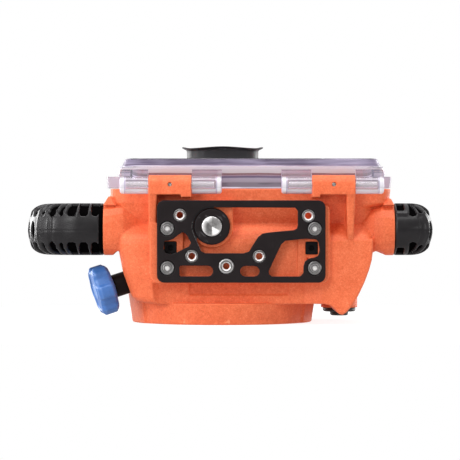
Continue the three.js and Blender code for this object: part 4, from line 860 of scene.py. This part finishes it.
for side, (x, z, r) in INSERTS.items():
    profile = [
        (2.22, -64.55), (2.22, -66.3), (2.4, -66.75), (3.0, -67.5), (3.18, -67.62), (3.3, -67.5), (3.36, -67.3), (3.5, -67.3), (3.6, -67.62),
        (3.74, -67.84), (3.9, -67.88), (r - 0.3, -67.88), (r - 0.1, -67.7), (r - 0.02, -67.45), (r + 0.27, -67.35), (r + 0.27, -66.6), (r - 0.02, -66.5), (r - 0.02, -64.55),
    ]
    n, a = 64, np.arange(64) * 2 * math.pi / 64
    rings = [np.stack([x + k * np.cos(a), np.full(n, y), z + k * np.sin(a)], axis=1) for k, y in profile]
    faces = []
    for k in range(len(rings)):
        for i in range(n):
            j, m = (i + 1) % n, (k + 1) % len(rings)
            faces.append((k * n + i, k * n + j, m * n + j, m * n + i))
    at = (x, -67.8, z)
    mesh = mesh_of("threaded_insert_" + side, np.concatenate(rings), faces, at=at)
    link("threaded_insert_" + side, mesh, BODY["plate_insert_" + side], INSERT, ("plate_insert_" + side,), at=at)

turned_y("valve_cap", "valve_button", [
    (0.02, -67.55), (1.2, -67.62), (4.9, -67.9), (5.6, -67.97), (6.1, -67.97), (6.6, -67.85), (6.95, -67.6), (7.08, -67.2), (7.08, -64.25), (2.6, -64.2), (2.55, -63.9), (2.55, -41.6), (0.02, -41.55),
], (-7.1, 69.3), SPUN, n=96)

# ------------------------------------------------------------------ the remaining nodes, with eased edges
DONE = {n for o in scene.objects if "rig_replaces" in o for n in o["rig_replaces"]}
EASE = {"stainless": 0.12, "black_anodised": 0.3, "black_plastic": 0.25, "seal_rubber": 0.0, "window": 0.35, "tray_metal": 0.35, "black_rubber": 0.3, "blue_plastic": 0.3, "orange_shell": 0.3, "clear_back": 0.6}
for name, o in NODES.items():
    if name in DONE:
        continue
    slot = o.material_slots[0].name.split(".")[0]
    material = BY_SLOT[slot]
    if name.startswith("hinge_pin"):
        material = BRUSHED
    # the captive nuts are coloured near black as painted shade for their deep sockets; the gland is black of its own
    if name.startswith("captive_nut") or name == "zoom_gland":
        material = DARK
    width = EASE[slot]
    if "spring" in name:
        width = 0.0
    if width:
        eased(name, material, width)
    else:
        o.data.materials.clear()
        o.data.materials.append(material)
        if "custom_normal" in o.data.attributes:
            o.data.attributes.remove(o.data.attributes["custom_normal"])
        for f in o.data.polygons:
            f.use_smooth = True
        m = o.modifiers.new("weld", "WELD")
        m.merge_threshold = 1e-6

# ------------------------------------------------------------------ floor, light and camera
def floor():
    """A pale sheet. It runs into the white sweep behind, and stays dim in what the object reflects."""
    g = Graph("pale_floor")
    base = g.ramp(g.noise(3.0, 3.0, 0.5), (0.3, (0.25, 0.25, 0.25)), (0.7, (0.28, 0.28, 0.28)))
    rough = g.map(g.noise(40.0), 0.3, 0.7, 0.6, 0.7)
    near = g.add("ShaderNodeBsdfPrincipled", None, **{"Base_Color": base, "Roughness": rough, "Specular_IOR_Level": 0.1, "Emission_Color": (1.0, 1.0, 1.0, 1.0), "Emission_Strength": 0.84})
    far = g.add("ShaderNodeEmission", None, Color=(1.0, 1.0, 1.0, 1.0), Strength=1.0)
    flat = g.add("ShaderNodeVectorMath", {"operation": "LENGTH"}, Vector=g.at)
    glow = g.map(flat.outputs["Value"], 0.55, 0.20, 0.0, 0.42, smooth=True)
    dim = g.add("ShaderNodeBsdfPrincipled", None, **{"Base_Color": base, "Roughness": rough, "Specular_IOR_Level": 0.1, "Emission_Color": (1.0, 1.0, 1.0, 1.0), "Emission_Strength": glow})
    away = g.add("ShaderNodeMixShader", None, Fac=g.map(flat.outputs["Value"], 0.17, 0.34, smooth=True))
    g.tree.links.new(near.outputs[0], away.inputs[1])
    g.tree.links.new(far.outputs[0], away.inputs[2])
    seen = g.add("ShaderNodeMixShader", None, Fac=g.add("ShaderNodeLightPath").outputs["Is Camera Ray"])
    g.tree.links.new(dim.outputs[0], seen.inputs[1])
    g.tree.links.new(away.outputs[0], seen.inputs[2])
    g.tree.links.new(seen.outputs[0], g.output.inputs["Surface"])
    mesh = bpy.data.meshes.new("floor")
    mesh.from_pydata([(-8, -8, -0.0002), (8, -8, -0.0002), (8, 8, -0.0002), (-8, 8, -0.0002)], [], [(0, 1, 2, 3)])
    mesh.materials.append(g.material)
    o = bpy.data.objects.new("floor", mesh)
    scene.collection.objects.link(o)


floor()

world = bpy.data.worlds.new("studio")
scene.world = world
world.use_nodes = True
t = world.node_tree
t.nodes.clear()


def world_node(kind, **props):
    n = t.nodes.new(kind)
    for k, v in props.items():
        setattr(n, k, v)
    return n


# A white sweep behind and above the object, and a dimmer room on the side that the photographer stands on.
out = world_node("ShaderNodeOutputWorld")
where = world_node("ShaderNodeTexCoord")
part = world_node("ShaderNodeSeparateXYZ")
t.links.new(where.outputs["Generated"], part.inputs[0])
side = world_node("ShaderNodeMapRange", interpolation_type="SMOOTHSTEP")
t.links.new(part.outputs[1], side.inputs[0])
for k, v in zip((1, 2, 3, 4), (-0.45, 0.60, 0.26, 0.95)):
    side.inputs[k].default_value = v
up = world_node("ShaderNodeMapRange")
t.links.new(part.outputs[2], up.inputs[0])
for k, v in zip((1, 2, 3, 4), (0.1, 0.98, 0.0, 0.35)):
    up.inputs[k].default_value = v
total = world_node("ShaderNodeMath", operation="ADD", use_clamp=True)
t.links.new(side.outputs[0], total.inputs[0])
t.links.new(up.outputs[0], total.inputs[1])
room = world_node("ShaderNodeBackground")
t.links.new(total.outputs[0], room.inputs[1])
sweep = world_node("ShaderNodeBackground")
sweep.inputs[1].default_value = 1.0
for n in (room, sweep):
    n.inputs[0].default_value = (1.0, 1.0, 1.0, 1.0)
pick = world_node("ShaderNodeMixShader")
t.links.new(world_node("ShaderNodeLightPath").outputs["Is Camera Ray"], pick.inputs[0])
t.links.new(room.outputs[0], pick.inputs[1])
t.links.new(sweep.outputs[0], pick.inputs[2])
t.links.new(pick.outputs[0], out.inputs[0])


def lamp(name, azimuth, elevation, distance, size, energy, colour=(1, 1, 1)):
    """A soft box: azimuth is from the photographer's side, to the right."""
    a, e = math.radians(azimuth), math.radians(elevation)
    at = Vector((math.sin(a) * math.cos(e), -math.cos(a) * math.cos(e), math.sin(e))) * distance + Vector((0, 0, 0.06))
    data = bpy.data.lights.new(name, "AREA")
    data.shape, data.size, data.size_y, data.energy, data.color = "RECTANGLE", size[0], size[1], energy, colour
    o = bpy.data.objects.new(name, data)
    scene.collection.objects.link(o)
    o.location = at
    o.rotation_euler = (Vector((0, 0, 0.06)) - at).to_track_quat("-Z", "Y").to_euler()


lamp("key", -30, 30, 1.3, (0.3, 0.4), 4.3)
lamp("low", -28, 5, 1.3, (0.25, 0.25), 1.7)
lamp("top", 2, 72, 1.3, (1.0, 0.45), 10.5)
lamp("side_left", -70, 14, 1.2, (0.16, 0.4), 5.5)
lamp("side_right", 60, 14, 1.3, (0.12, 0.3), 1.9)
lamp("glint_right", 26, 13, 1.3, (0.08, 0.25), 0.9)
lamp("rim_left", -128, 5, 1.1, (0.5, 0.7), 10.0)
lamp("rim_right", 128, 5, 1.1, (0.5, 0.7), 9.0)

camera = bpy.data.objects.new("camera", bpy.data.cameras.new("camera"))
scene.collection.objects.link(camera)
camera.data.sensor_width = 36.0
camera.data.lens = 2000 * 36.0 / 460
camera.location = (0.00073, -1.480, 0.0668)
camera.rotation_euler = (math.radians(90), 0, 0)
camera.data.clip_start, camera.data.clip_end = 0.01, 60.0
scene.camera = camera
scene.view_settings.view_transform = "Standard"
